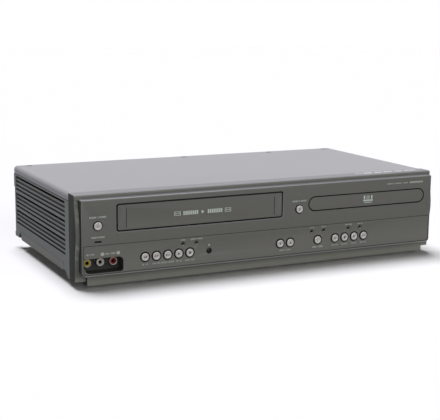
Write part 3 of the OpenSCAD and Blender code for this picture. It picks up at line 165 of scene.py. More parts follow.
class Graph:
    """Node tree of one material or world, with one way to add a node."""

    def __init__(self, tree: bpy.types.NodeTree) -> None:
        """Empties the tree and keeps it."""
        self.tree = tree
        tree.nodes.clear()

    def add(
        self,
        kind: str,
        settings: Mapping[str, Any] | None = None,
        sockets: Mapping[Union[int, str], Any] | None = None,
        output: Union[int, str] = 0,
    ) -> Value:
        """Adds a node, its settings first, then its sockets.

        Args:
            kind: Blender's type of the node.
            settings: properties of the node, such as a Math node's operation.
            sockets: a number, colour or Value for each named or numbered input.
            output: name or number of the output that is returned.

        Returns:
            The chosen output, or the input of a node that has no output.
        """
        node = self.tree.nodes.new(kind)
        for name, setting in (settings or {}).items():
            setattr(node, name, setting)
        for key, value in (sockets or {}).items():
            self.plug(node.inputs[key], value)
        ends = node.outputs if len(node.outputs) else node.inputs
        return Value(self, ends[output])

    def plug(self, socket: bpy.types.NodeSocket, value: Any) -> None:
        """Links a Value to an input, or sets the input's own number or colour.

        Args:
            socket: the input.
            value: a Value, number, vector or colour.
        """
        if isinstance(value, Value):
            self.tree.links.new(value.socket, socket)
        elif isinstance(value, tuple) and socket.type == "RGBA":
            socket.default_value = (*value[:3], 1.0)
        else:
            socket.default_value = value

    def place(self, origin: Triple = (0, 0, 0), stretch: Triple = (1, 1, 1)) -> Value:
        """Object coordinates, moved and stretched for a pattern.

        Args:
            origin: point of the object that becomes the pattern's origin.
            stretch: factor along each axis.

        Returns:
            The coordinates as a vector.
        """
        here = self.add("ShaderNodeTexCoord", output=Reading.PLACE.value)
        start = tuple(-o * s for o, s in zip(origin, stretch))
        sockets = {"Vector": here, "Location": start, "Scale": stretch}
        return self.add("ShaderNodeMapping", None, sockets)

    def axes(self, vector: Value) -> list[Value]:
        """The three numbers of a vector."""
        return [self.add("ShaderNodeSeparateXYZ", None, {0: vector}, axis) for axis in (0, 1, 2)]

    def read(self, reading: Reading) -> list[Value]:
        """The three numbers of the surface's place or of the way that it looks to."""
        return self.axes(self.add("ShaderNodeTexCoord", output=reading.value))

    def noise(
        self, where: Value, scale: float, detail: float = 2.0, roughness: float = 0.5
    ) -> Value:
        """Soft noise between zero and one.

        Args:
            where: coordinates that it is read at.
            scale: features per metre.
            detail: number of finer layers.
            roughness: how strong the finer layers are.

        Returns:
            The level of the noise.
        """
        sockets = {"Vector": where, "Scale": scale, "Detail": detail, "Roughness": roughness}
        return self.add("ShaderNodeTexNoise", None, sockets, "Fac")

    def cells(self, where: Value, scale: float) -> Value:
        """A random level in each cell of a Voronoi pattern, scale in cells per metre."""
        colour = self.add("ShaderNodeTexVoronoi", None, {"Vector": where, "Scale": scale}, "Color")
        return self.add("ShaderNodeSeparateColor", None, {0: colour})

    def mix(self, factor: Number, first: Any, second: Any) -> Value:
        """Colour between two colours, the first where the factor is zero."""
        return self.add("ShaderNodeMix", {"data_type": "RGBA"}, {0: factor, 6: first, 7: second}, 2)

    def shade(self, colour: Colour, level: Value) -> Value:
        """A colour made lighter or darker by a varying level, one leaving it as it is."""
        return self.add("ShaderNodeVectorMath", {"operation": "SCALE"}, {0: colour, "Scale": level})

    def bump(self, height: Value, depth: float, strength: float = 1.0) -> Value:
        """Normal of a relief.

        Args:
            height: relief between zero and one.
            depth: metres between its lowest and highest level.
            strength: how much of the relief shows.

        Returns:
            The normal for a shader.
        """
        sockets = {"Strength": strength, "Distance": depth, "Height": height}
        return self.add("ShaderNodeBump", None, sockets)


# ---------------------------------------------------------------- finishes


@dataclass(frozen=True)
class Finish:
    """Base of all finishes: each gives its own sockets of a Principled shader."""

    name: str
    colour: Colour
    roughness: float = 0.5

    def sockets(self, graph: Graph) -> dict[str, Any]:
        """Sockets of the shader; every finish overrides this."""
        raise NotImplementedError

    def material(self) -> bpy.types.Material:
        """The material of this finish, made once and shared."""
        return _material(self)


@lru_cache(maxsize=None)
def _material(finish: Finish) -> bpy.types.Material:
    """Builds a finish's material.

    Args:
        finish: the finish, whose fields tell it from all others.

    Returns:
        The new material.
    """
    material = bpy.data.materials.new(finish.name)
    material.use_nodes = True
    graph = Graph(material.node_tree)
    shader = graph.add("ShaderNodeBsdfPrincipled", None, finish.sockets(graph))
    graph.add("ShaderNodeOutputMaterial", None, {"Surface": shader})
    return material


@dataclass(frozen=True)
class Lacquer(Finish):
    """Satin metallic lacquer, sprayed from the front on a dark moulding.

    Fine bright flakes lie under a smooth skin. Walls that look to the sides and walls
    deeper than the skin behind the front plane keep a dark unpainted tone, which is the
    moulding's own colour and also painted shade in gaps, openings and on side walls. A
    crown, if there is one, is a painted reflection: a paler tone on what looks up. A
    painted highlight, if there is one, is a paler tone on rounded edges, which turn away
    from the front, and is painted stronger where they look down, as a painted reflection
    of the floor. Painted light from the floor makes the coat lighter towards the bottom.
    Scales are patterns per metre, and ways are cosines between the surface's normal and
    an axis: a limit, or the two ends of a smooth step.
    """

    flake: float = 0.10
    metallic: float = 0.15
    roughness: float = 0.40
    coat: float = 0.25
    # crown: tone painted on what looks up, a painted reflection
    crown: Optional[Colour] = None
    # painted highlight on rounded edges, painted stronger where they look down
    painted_highlight: Optional[Colour] = None
    # painted light from the floor: under this height the tone is painted lighter
    painted_bounce: float = 0.0
    painted_bounce_depth: float = 9.5 * MM
    painted_bounce_gain: float = 1.10
    lip_highlight_gain: float = 0.9
    front: float = 0.0
    skin: float = 1.0
    reach: float = 0.0
    crest: float = 1.0
    # dark unpainted tone: the moulding's own colour, and painted shade in gaps and on side walls
    bare_and_shade: Colour = (0.022, 0.026, 0.022)
    bare_and_shade_roughness: float = 0.70
    flake_scale: float = 3200.0
    drift_scale: float = 9.0
    peel_scale: float = 1100.0
    peel_depth: float = 0.03 * MM
    peel_strength: float = 0.5
    drift_tone: float = 0.05
    drift_gloss: float = 0.08
    flake_gloss: float = 0.05
    coat_roughness: float = 0.25
    sheen: float = 0.25
    facing_way: float = 0.35
    side_way: float = 0.80
    top_sheen_way: tuple[float, float] = (0.40, 0.90)
    painted_highlight_way: tuple[float, float] = (0.20, 0.45)
    flat_way: tuple[float, float] = (0.72, 0.86)
    lip_highlight_way: tuple[float, float] = (0.10, 0.40)

    def sprayed(self, graph: Graph) -> Value:
        """One where the spray has reached, else zero.

        The skin covers everything, the reach only what looks to the front, and the crest
        is a height above which all is covered. Where it is zero, the dark unpainted tone
        is also painted shade in gaps, openings and on walls that look to the sides.

        Args:
            graph: the node tree of the material.

        Returns:
            The cover as a value.
        """
        place = graph.read(Reading.PLACE)
        way = graph.read(Reading.WAY)
        depth = place[1] - self.front
        near = 1.0 - depth.above(self.skin)
        facing = (0.0 - way[1]).above(self.facing_way) * (1.0 - depth.above(self.reach))
        high = place[2].above(self.crest)
        # walls that look to the sides keep the dark tone: painted shade there
        sideways = way[0].size().above(self.side_way)
        return near.maximum(facing).maximum(high) * (1.0 - sideways)

    def sockets(self, graph: Graph) -> dict[str, Any]:
        """Flakes as cells 0.3 mm wide, a slow drift of tone, and a faint orange peel.

        Args:
            graph: the node tree of the material.

        Returns:
            What the shader's sockets are set to or linked with, by their names.
        """
        here = graph.place()
        flakes = graph.cells(here, self.flake_scale)
        drift = graph.noise(here, self.drift_scale)
        peel = graph.noise(here, self.peel_scale, detail=3.0, roughness=0.6)
        level = 1.0 + self.flake * (flakes - 0.5) + self.drift_tone * (drift - 0.5)
        # painted light from the floor: the tone grows lighter towards the bottom
        if self.painted_bounce:
            height = graph.read(Reading.PLACE)[2]
            level = level + self.painted_bounce_gain * (1.0 - height.ramp(self.painted_bounce - self.painted_bounce_depth, self.painted_bounce))
        cover = self.sprayed(graph)
        tone = graph.shade(self.colour, level)
        way = graph.read(Reading.WAY)
        # painted reflection: a paler crown tone on what looks up
        if self.crown:
            top_sheen = way[2].ramp(*self.top_sheen_way)
            tone = graph.mix(top_sheen, tone, graph.shade(self.crown, level))
        # painted highlight on rounded edges, painted stronger on what looks down as a reflection of
        # the floor
        if self.painted_highlight:
            lean = 0.0 - way[1]
            turned = lean.ramp(*self.painted_highlight_way) * (1.0 - lean.ramp(*self.flat_way))
            lip_highlight = (0.0 - way[2]).ramp(*self.lip_highlight_way)
            shine = graph.shade(self.painted_highlight, level * (1.0 + self.lip_highlight_gain * lip_highlight))
            tone = graph.mix(turned.maximum(lip_highlight), tone, shine)
        gloss = self.bare_and_shade_roughness + (self.roughness - self.bare_and_shade_roughness) * cover
        gloss = gloss + self.drift_gloss * (drift - 0.5) + self.flake_gloss * (flakes - 0.5)
        return {
            # the dark unpainted tone where the spray has not reached, also painted shade
            "Base Color": graph.mix(cover, self.bare_and_shade, tone),
            "Roughness": gloss,
            "Metallic": self.metallic * cover,
            "Coat Weight": self.coat * cover,
            "Coat Roughness": self.coat_roughness,
            "Specular IOR Level": self.sheen,
            "Normal": graph.bump(peel, self.peel_depth, self.peel_strength),
        }


@dataclass(frozen=True)
class PowderPaint(Finish):
    """Fine textured paint on sheet steel."""

    grain: float = 0.10
    speckle_scale: float = 2100.0
    speckle_depth: float = 0.06 * MM
    speckle_strength: float = 0.6
    speckle_gloss: float = 0.10
    drift_scale: float = 7.0
    drift_tone: float = 0.04
    sheen: float = 0.20

    def sockets(self, graph: Graph) -> dict[str, Any]:
        """Speckle of 0.5 mm in tone and relief, over a slow drift of tone.

        Args:
            graph: the node tree of the material.

        Returns:
            What the shader's sockets are set to or linked with, by their names.
        """
        here = graph.place()
        speckle = graph.noise(here, self.speckle_scale, roughness=0.7)
        drift = graph.noise(here, self.drift_scale)
        level = 1.0 + self.grain * (speckle - 0.5) + self.drift_tone * (drift - 0.5)
        return {
            "Base Color": graph.shade(self.colour, level),
            "Roughness": self.roughness + self.speckle_gloss * (speckle - 0.5),
            "Specular IOR Level": self.sheen,
            "Normal": graph.bump(speckle, self.speckle_depth, self.speckle_strength),
        }


@dataclass(frozen=True)
class Moulding(Finish):
    """Spark-eroded grain of an unpainted moulded plastic."""

    grain: float = 0.12
    pit_scale: float = 1700.0
    pit_depth: float = 0.08 * MM
    pit_strength: float = 0.5
    drift_scale: float = 14.0
    drift_tone: float = 0.06
    drift_gloss: float = 0.12
    sheen: float = 0.25

    def sockets(self, graph: Graph) -> dict[str, Any]:
        """Pits of 0.6 mm in relief, with a slightly darker tone in them.

        Args:
            graph: the node tree of the material.

        Returns:
            What the shader's sockets are set to or linked with, by their names.
        """
        here = graph.place()
        pits = graph.noise(here, self.pit_scale, detail=3.0, roughness=0.6)
        drift = graph.noise(here, self.drift_scale)
        level = 1.0 + self.grain * (pits - 0.5) + self.drift_tone * (drift - 0.5)
        return {
            "Base Color": graph.shade(self.colour, level),
            "Roughness": self.roughness + self.drift_gloss * (drift - 0.5),
            "Specular IOR Level": self.sheen,
            "Normal": graph.bump(pits, self.pit_depth, self.pit_strength),
        }


@dataclass(frozen=True)
class Louvred(Moulding):
    """Moulding whose grooves carry painted shade.

    Deeper than sunk behind the outer wall, and on walls that look up or down, it takes a
    near-black tone that stands in for the shade inside the louvre slots. The level way is
    the cosine to the upright from which a wall counts as level.
    """

    wall: float = 0.0
    sunk: float = 1.45 * MM
    # near-black painted shade in the grooves
    hollow: Colour = (0.010, 0.010, 0.010)
    level_way: float = 0.85

    def sockets(self, graph: Graph) -> dict[str, Any]:
        """The moulding's sockets, with painted shade where it is deep and on walls that look up or
        down.

        Args:
            graph: the node tree of the material.

        Returns:
            What the shader's sockets are set to or linked with, by their names.
        """
        plugs = super().sockets(graph)
        across = graph.read(Reading.PLACE)[0].size()
        upright = graph.read(Reading.WAY)[2].size()
        sunk = 1.0 - across.above(self.wall - self.sunk)
        # painted shade: deep places and level walls take the near-black tone
        dark = sunk.maximum(upright.above(self.level_way))
        plugs["Base Color"] = graph.mix(dark, plugs["Base Color"], self.hollow)
        return plugs


@dataclass(frozen=True)
class DippedPaint(PowderPaint):
    """Powder paint with painted shade on the tops of the hooks, which show through the cover's
    slots.
    """

    ceiling: float = 1.0
    # near-black painted shade on the hook tops
    hollow: Colour = (0.020, 0.020, 0.020)

    def sockets(self, graph: Graph) -> dict[str, Any]:
        """The paint's sockets, with painted shade above a given height.

        Args:
            graph: the node tree of the material.

        Returns:
            What the shader's sockets are set to or linked with, by their names.
        """
        plugs = super().sockets(graph)
        high = graph.read(Reading.PLACE)[2].above(self.ceiling)
        plugs["Base Color"] = graph.mix(high, plugs["Base Color"], self.hollow)
        return plugs


@dataclass(frozen=True)
class RolledSheet(Finish):
    """Zinc plated sheet with the rolling direction along x."""

    roughness: float = 0.38
    grain_ratio: float = 60.0
    line_scale: float = 45.0
    line_depth: float = 0.03 * MM
    line_strength: float = 0.4
    line_tone: float = 0.10
    cloud_scale: float = 30.0
    cloud_tone: float = 0.12
    cloud_gloss: float = 0.18
    mark_scale: float = 55.0
    mark_shift: Triple = (0.3, 0.1, 0.0)
    mark_step: tuple[float, float] = (0.58, 0.70)
    mark_tone: float = 0.10
    mark_gloss: float = 0.12
    metallic: float = 0.9

    def sockets(self, graph: Graph) -> dict[str, Any]:
        """Long rolling lines, cloudy plating, and a few duller handling marks.

        Args:
            graph: the node tree of the material.

        Returns:
            What the shader's sockets are set to or linked with, by their names.
        """
        rolled = graph.place(stretch=(1.0, self.grain_ratio, self.grain_ratio))
        lines = graph.noise(rolled, self.line_scale, detail=3.0)
        cloud = graph.noise(graph.place(), self.cloud_scale, detail=3.0, roughness=0.6)
        shifted = graph.place(origin=self.mark_shift)
        spots = graph.noise(shifted, self.mark_scale, detail=5.0, roughness=0.7)
        marks = spots.ramp(*self.mark_step)
        level = 1.0 + self.line_tone * (lines - 0.5) + self.cloud_tone * (cloud - 0.5)
        gloss = self.roughness + self.cloud_gloss * (cloud - 0.5) + self.mark_gloss * marks
        return {
            "Base Color": graph.shade(self.colour, level - self.mark_tone * marks),
            "Roughness": gloss,
            "Metallic": self.metallic,
            "Normal": graph.bump(lines, self.line_depth, self.line_strength),
        }


@dataclass(frozen=True)
class TurnedMetal(Finish):
    """Metal turned on a lathe, with fine rings round its upright axis."""

    centre: Triple = (0.0, 0.0, 0.0)
    pitch: float = 0.5 * MM
    ring_tone: float = 0.06
    ring_depth: float = 0.01 * MM
    ring_strength: float = 0.35
    stain_scale: float = 120.0
    stain_tone: float = 0.10
    stain_gloss: float = 0.10

    def sockets(self, graph: Graph) -> dict[str, Any]:
        """Rings as the sine of the distance from the axis plus the height, and faint stains.

        Args:
            graph: the node tree of the material.

        Returns:
            What the shader's sockets are set to or linked with, by their names.
        """
        here = graph.place(origin=self.centre)
        x, y, z = graph.axes(here)
        radius = (x ** 2.0 + y ** 2.0) ** 0.5
        rings = ((radius + z) * (2.0 * math.pi / self.pitch)).sine() * 0.5 + 0.5
        stain = graph.noise(here, self.stain_scale, detail=3.0, roughness=0.6)
        level = 1.0 - self.ring_tone + self.ring_tone * rings
        return {
            "Base Color": graph.shade(self.colour, level + self.stain_tone * (stain - 0.5)),
            "Roughness": self.roughness + self.stain_gloss * (stain - 0.5),
            "Metallic": 1.0,
            "Normal": graph.bump(rings, self.ring_depth, self.ring_strength),
        }


@dataclass(frozen=True)
class Plating(Finish):
    """Bright nickel plating with a light haze."""

    roughness: float = 0.22
    base_tone: float = 0.95
    haze_scale: float = 260.0
    haze_tone: float = 0.10
    haze_gloss: float = 0.14
    scratch_scale: float = 900.0
    scratch_stretch: Triple = (1.0, 14.0, 1.0)
    scratch_gloss: float = 0.06
    scratch_depth: float = 0.01 * MM
    scratch_strength: float = 0.3

    def sockets(self, graph: Graph) -> dict[str, Any]:
        """Haze and fine handling scratches in the gloss.

        Args:
            graph: the node tree of the material.

        Returns:
            What the shader's sockets are set to or linked with, by their names.
        """
        haze = graph.noise(graph.place(), self.haze_scale, detail=4.0, roughness=0.6)
        lines = graph.noise(graph.place(stretch=self.scratch_stretch), self.scratch_scale)
        gloss = self.roughness + self.haze_gloss * haze + self.scratch_gloss * (lines - 0.5)
        return {
            "Base Color": graph.shade(self.colour, self.base_tone + self.haze_tone * haze),
            "Roughness": gloss,
            "Metallic": 1.0,
            "Normal": graph.bump(lines, self.scratch_depth, self.scratch_strength),
        }


@dataclass(frozen=True)
class RubberSkin(Finish):
    """Matt moulded rubber with a dusty bloom on it."""

    roughness: float = 0.85
    base_tone: float = 0.85
    bloom_scale: float = 180.0
    bloom_step: tuple[float, float] = (0.42, 0.72)
    bloom_tone: float = 0.7
    grain_scale: float = 1500.0
    grain_gloss: float = 0.10
    grain_depth: float = 0.06 * MM
    grain_strength: float = 0.5

    def sockets(self, graph: Graph) -> dict[str, Any]:
        """Bloom in soft patches and a fine grain in relief.

        Args:
            graph: the node tree of the material.

        Returns:
            What the shader's sockets are set to or linked with, by their names.
        """
        here = graph.place()
        dust = graph.noise(here, self.bloom_scale, detail=4.0, roughness=0.6)
        bloom = dust.ramp(*self.bloom_step)
        grain = graph.noise(here, self.grain_scale)
        return {
            "Base Color": graph.shade(self.colour, self.base_tone + self.bloom_tone * bloom),
            "Roughness": self.roughness + self.grain_gloss * (grain - 0.5),
            "Normal": graph.bump(grain, self.grain_depth, self.grain_strength),
        }


@dataclass(frozen=True)
class TintedLens(Finish):
    """Clear tinted plastic over a dark hollow."""

    roughness: float = 0.12
    shine: float = 0.5
    base_tone: float = 0.85
    flow_scale: float = 400.0
    flow_tone: float = 0.3
    flow_gloss: float = 0.08
    flow_depth: float = 0.02 * MM
    flow_strength: float = 0.2

    def sockets(self, graph: Graph) -> dict[str, Any]:
        """Slight flow marks in colour, gloss and relief.

        Args:
            graph: the node tree of the material.

        Returns:
            What the shader's sockets are set to or linked with, by their names.
        """
        flow = graph.noise(graph.place(), self.flow_scale)
        return {
            "Base Color": graph.shade(self.colour, self.base_tone + self.flow_tone * flow),
            "Roughness": self.roughness + self.flow_gloss * flow,
            "Specular IOR Level": self.shine,
            "Normal": graph.bump(flow, self.flow_depth, self.flow_strength),
        }


@dataclass(frozen=True)
class Ink(Finish):
    """Pad printed ink, thin enough to take on the grain under it."""

    roughness: float = 0.55
    base_tone: float = 0.90
    cover_scale: float = 2600.0
    cover_tone: float = 0.2
    cover_gloss: float = 0.1
    cover_depth: float = 0.01 * MM
    cover_strength: float = 0.4

    def sockets(self, graph: Graph) -> dict[str, Any]:
        """Cover that thins out slightly in fine patches.

        Args:
            graph: the node tree of the material.

        Returns:
            What the shader's sockets are set to or linked with, by their names.
        """
        cover = graph.noise(graph.place(), self.cover_scale, detail=3.0, roughness=0.6)
        return {
            "Base Color": graph.shade(self.colour, self.base_tone + self.cover_tone * cover),
            "Roughness": self.roughness + self.cover_gloss * (cover - 0.5),
            "Normal": graph.bump(cover, self.cover_depth, self.cover_strength),
        }


@dataclass(frozen=True)
class Laminate(Finish):
    """Circuit board with lacquered tracks that show as a lighter tone."""

    base_tone: float = 0.85
    track_pitch: float = 3.5 * MM
    track_stretch: Triple = (1.0, 0.35, 1.0)
    track_from: float = 0.55
    track_tone: float = 0.35
    track_depth: float = 0.04 * MM
    track_strength: float = 0.5
    weave_scale: float = 1400.0
    weave_tone: float = 0.2
    weave_gloss: float = 0.15

    def sockets(self, graph: Graph) -> dict[str, Any]:
        """Tracks from a stretched cell pattern, weave of the laminate in fine noise.

        Args:
            graph: the node tree of the material.

        Returns:
            What the shader's sockets are set to or linked with, by their names.
        """
        drawn = graph.cells(graph.place(stretch=self.track_stretch), 1.0 / self.track_pitch)
        tracks = drawn.above(self.track_from)
        weave = graph.noise(graph.place(), self.weave_scale)
        level = self.base_tone + self.track_tone * tracks + self.weave_tone * (weave - 0.5)
        return {
            "Base Color": graph.shade(self.colour, level),
            "Roughness": self.roughness + self.weave_gloss * (weave - 0.5),
            "Normal": graph.bump(tracks, self.track_depth, self.track_strength),
        }


class Finishes:
    """All finishes of the player, by the maker's words for them."""

    FASCIA = Lacquer("fascia_lacquer", (0.138, 0.138, 0.124))
    PANEL = Lacquer("panel_lacquer", (0.149, 0.149, 0.134))
    COVER = PowderPaint("cover_paint", (0.325, 0.323, 0.345), 0.42)
    # its grooves carry near-black painted shade
    SIDE = Louvred("side_moulding", (0.208, 0.215, 0.217), 0.55)
    # with painted shade on the tops of its hooks
    REAR = DippedPaint("rear_paint", (0.200, 0.204, 0.210), 0.50)
    PAN = PowderPaint("pan_paint", (0.210, 0.210, 0.196), 0.50)
    BLACK = Moulding("black_moulding", (0.014, 0.014, 0.014), 0.62)
    # black tubes that stand in for the shade deep in the jack holes
    HOLLOW = Moulding("painted_shade_liner", (0.006, 0.006, 0.006), 0.75)
    FOOT = RubberSkin("foot_rubber", (0.022, 0.022, 0.022))
    SCREW = Plating("blackened_screw", (0.07, 0.07, 0.075), 0.35)
    # its dark unpainted tone is also painted shade in the gap round each cap
    CAP = Lacquer("cap_lacquer", (0.66, 0.64, 0.61), roughness=0.05, flake=0.25, metallic=0.30,
                  bare_and_shade=(0.060, 0.060, 0.058))
    # its crown is a painted highlight on the part of a collar that looks up
    COLLAR = Lacquer("collar_lacquer", (0.164, 0.164, 0.148), crown=(0.86, 0.88, 0.86))
    CAP_INK = Ink("cap_ink", (0.05, 0.05, 0.055))
    PRINT = Ink("panel_print", (0.46, 0.50, 0.46))
    BOLD_PRINT = Ink("bold_print", (0.66, 0.74, 0.68))
    RIM_PRINT = Ink("rim_print", (0.72, 0.71, 0.76))
    LAMP = TintedLens("lamp_lens", (0.006, 0.003, 0.003), 0.30, 0.15)
    SENSOR = TintedLens("sensor_lens", (0.006, 0.005, 0.007), 0.25, 0.25)
    RECESS = Moulding("recess_moulding", (0.044, 0.047, 0.044), 0.60)
    NICKEL = Plating("nickel_plating", (0.40, 0.385, 0.35), 0.28)
    YELLOW = Moulding("yellow_insert", (0.38, 0.29, 0.02), 0.45)
    WHITE = Moulding("white_insert", (0.42, 0.41, 0.39), 0.45)
    RED = Moulding("red_insert", (0.21, 0.010, 0.010), 0.45)
    BOARD_GREEN = Laminate("green_board", (0.03, 0.16, 0.06), 0.45)
    BOARD_BROWN = Laminate("brown_board", (0.28, 0.15, 0.05), 0.55)
    COIL = Moulding("coil_tape", (0.62, 0.46, 0.08), 0.35)
    DECK = RolledSheet("deck_sheet", (0.62, 0.63, 0.64), 0.34)
    NATURAL = Moulding("natural_nylon", (0.74, 0.73, 0.68), 0.42)
    GREY = Moulding("grey_moulding", (0.10, 0.10, 0.105), 0.48)
    TRAY = Moulding("tray_moulding", (0.055, 0.055, 0.058), 0.38)
    STEEL = Plating("polished_steel", (0.58, 0.58, 0.58), 0.18)


# ---------------------------------------------------------------- surfaces


def rounded(corners: Sequence[Sequence[float]], closed: bool = False, steps: int = 5) -> Array:
    """Outline whose corners are rounded with circular arcs.

    The arc of radius r in a corner touches both sides at r / tan(half the corner's angle).

    Args:
        corners: points as (x, y) or (x, y, radius).
        closed: whether the last corner joins the first.
        steps: points that each arc is divided into.

    Returns:
        Points of the outline, two numbers each.
    """
    count = len(corners)
    runs: list[Array] = []
    for i, corner in enumerate(corners):
        point = np.array(corner[:2], float)
        radius = corner[2] if len(corner) > 2 else 0.0
        if radius <= 0 or (not closed and i in (0, count - 1)):
            runs.append(point[None])
            continue
        before = np.array(corners[i - 1][:2], float) - point
        after = np.array(corners[(i + 1) % count][:2], float) - point
        before /= np.linalg.norm(before)
        after /= np.linalg.norm(after)
        half = math.acos(float(np.clip(before @ after, -1, 1))) / 2
        reach = radius / math.tan(half)
        bisector = (before + after) / np.linalg.norm(before + after)
        middle = point + bisector * radius / math.sin(half)
        start = point + before * reach - middle
        end = point + after * reach - middle
        sweep = math.pi - 2 * half
        share = np.linspace(0, 1, steps + 1)[:, None]
        arc = (np.sin((1 - share) * sweep) * start + np.sin(share * sweep) * end) / math.sin(sweep)
        runs.append(middle + arc)
    return np.vstack(runs)


def full_turn(steps: int) -> Array:
    """Angles evenly spaced over a full turn, without the last."""
    return np.linspace(0, 2 * math.pi, steps, endpoint=False)


def ellipse(x: float, z: float, width: float, height: float, points: int = 32) -> Array:
    """Closed ellipse: middle plus half the width and height times cosine and sine."""
    angle = full_turn(points)
    return np.column_stack([x + width / 2 * np.cos(angle), z + height / 2 * np.sin(angle)])


def arc_band(radius: float, width: float, start: float, end: float, points: int = 24) -> Array:
    """Band along an arc: the outer arc forwards, then the inner arc back.

    Args:
        radius: radius of the band's middle.
        width: width of the band.
        start: first angle in degrees.
        end: last angle in degrees.
        points: points on each arc.

    Returns:
        The closed outline.
    """
    angle = np.radians(np.linspace(start, end, points))
    ray = np.column_stack([np.cos(angle), np.sin(angle)])
    return np.vstack([ray * (radius + width / 2), ray[::-1] * (radius - width / 2)])


def oblong(x: float, z: float, width: float, height: float) -> Array:
    """Rectangle about its middle, round from its lower left corner."""
    corners = np.array([(-1, -1), (1, -1), (1, 1), (-1, 1)])
    return np.array([x, z]) + corners * (width / 2, height / 2)


class Facing(Enum):
    """Direction that a turned or printed piece looks to, as the two axes of its outline."""

    FRONT = ((1, 0, 0), (0, 0, 1))
    BACK = ((-1, 0, 0), (0, 0, 1))
    TOP = ((1, 0, 0), (0, 1, 0))
    BOTTOM = ((1, 0, 0), (0, -1, 0))

    def axes(self) -> tuple[Array, Array, Array]:
        """Right and up along the outline, and the way out of it towards the viewer."""
        right, up = (np.array(axis, float) for axis in self.value)
        return right, up, np.cross(right, up)

    def rays(self, segments: int) -> tuple[Array, Array]:
        """Directions round the way out, each the cosine times right plus the sine times up.

        Args:
            segments: number of directions, evenly spaced over a full turn.

        Returns:
            The directions and the way out.
        """
        right, up, out = self.axes()
        angle = full_turn(segments)[:, None]
        return np.cos(angle) * right + np.sin(angle) * up, out


class Shape:
    """Points and faces gathered from several surfaces before they become one mesh."""

    def __init__(self) -> None:
        """Starts empty."""
        self.points: list[Array] = []
        self.faces: list[list[int]] = []
        self.count = 0

    def add(self, points: Array, faces: Any) -> "Shape":
        """Adds a surface.

        Args:
            points: its points, three numbers each, in metres.
            faces: indices of each face's points.

        Returns:
            The shape itself.
        """
        flat = np.asarray(points, float).reshape(-1, 3)
        for group in faces:
            self.faces.extend((np.asarray(group) + self.count).tolist())
        self.points.append(flat)
        self.count += len(flat)
        return self

    def grid(
        self, points: Array, close_rows: bool = False, close_columns: bool = False
    ) -> "Shape":
        """Adds a grid of points as quads.

        Args:
            points: rows by columns by three.
            close_rows: whether the last row joins the first.
            close_columns: whether the last column joins the first.

        Returns:
            The shape itself.
        """
        rows, columns = points.shape[:2]
        index = np.arange(rows * columns).reshape(rows, columns)
        if close_rows:
            index = np.vstack([index, index[:1]])
        if close_columns:
            index = np.hstack([index, index[:, :1]])
        corners = [index[:-1, :-1], index[:-1, 1:], index[1:, 1:], index[1:, :-1]]
        return self.add(points, [np.stack(corners, axis=-1).reshape(-1, 4)])

    def lathe(
        self,
        profile: Array,
        origin: Sequence[float],
        facing: Facing,
        segments: int = 64,
        close: bool = False,
    ) -> "Shape":
        """Turns a profile round an axis.

        A point is the radius times the cosine and sine of the angle, plus the distance
        along the axis.

        Args:
            profile: points as (radius, distance towards the viewer).
            origin: point on the axis where that distance is zero.
            facing: the axis.
            segments: points round the axis.
            close: whether the profile's last point joins its first.

        Returns:
            The shape itself.
        """
        rays, out = facing.rays(segments)
        reach, along = profile[:, 0, None, None], profile[:, 1, None, None]
        points = np.asarray(origin) + reach * rays + along * out
        return self.grid(points, close_rows=close, close_columns=True)

    def plate(
        self, outline: Array, origin: Sequence[float], facing: Facing, thickness: float
    ) -> "Shape":
        """Gives a flat outline a thickness behind its front.

        Args:
            outline: closed outline as (right, up).
            origin: point of the front that the outline is measured from.
            facing: direction that the front looks to.
            thickness: how far the back lies behind the front.

        Returns:
            The shape itself.
        """
        right, up, out = facing.axes()
        front = np.asarray(origin) + outline[:, :1] * right + outline[:, 1:] * up
        count = len(outline)
        here = np.arange(count)
        ahead = (here + 1) % count
        walls = np.column_stack([here, here + count, ahead + count, ahead])
        both = np.vstack([front, front - out * thickness])
        return self.add(both, [[here], [here[::-1] + count], walls])

    def mesh(self, name: str, sharp: float) -> bpy.types.Mesh:
        """Turns the gathered surfaces into a mesh with its faces outwards.

        Args:
            name: name of the mesh.
            sharp: angle in degrees from which an edge stays sharp.

        Returns:
            The new mesh.
        """
        mesh = bpy.data.meshes.new(name)
        mesh.from_pydata(np.vstack(self.points), [], self.faces)
        seal(mesh, sharp)
        return mesh


def seal(mesh: bpy.types.Mesh, sharp: float, flatten: float = 0.0) -> None:
    """Merges doubled points, turns faces outwards and shades smoothly between sharp edges.

    Args:
        mesh: the mesh to finish.
        sharp: angle in degrees from which an edge stays sharp.
        flatten: angle in degrees up to which neighbouring faces join into one.
    """
    work = bmesh.new()
    work.from_mesh(mesh)
    bmesh.ops.remove_doubles(work, verts=work.verts, dist=MERGE)
    if flatten:
        limit = math.radians(flatten)
        bmesh.ops.dissolve_limit(work, angle_limit=limit, verts=work.verts, edges=work.edges)
    bmesh.ops.recalc_face_normals(work, faces=work.faces)
    work.to_mesh(mesh)
    work.free()
    mesh.shade_smooth()
    mesh.set_sharp_from_angle(angle=math.radians(sharp))


def node_points(node: str) -> Array:
    """Reads the points of a CAD node.

    Args:
        node: the CAD node.

    Returns:
        The points as rows of three numbers.
    """
    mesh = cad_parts[node].data
    flat = np.empty(len(mesh.vertices) * 3, np.float32)
    mesh.vertices.foreach_get("co", flat)
    return flat.reshape(-1, 3).astype(float)


def clusters(node: str, gap: float) -> list[Array]:
    """Splits a node's points where they leave a gap along x.

    Args:
        node: the CAD node.
        gap: least gap in metres between two clusters.

    Returns:
        The points of each cluster, from left to right.
    """
    points = node_points(node)
    points = points[np.argsort(points[:, 0])]
    breaks = np.flatnonzero(np.diff(points[:, 0]) > gap) + 1
    return np.split(points, breaks)


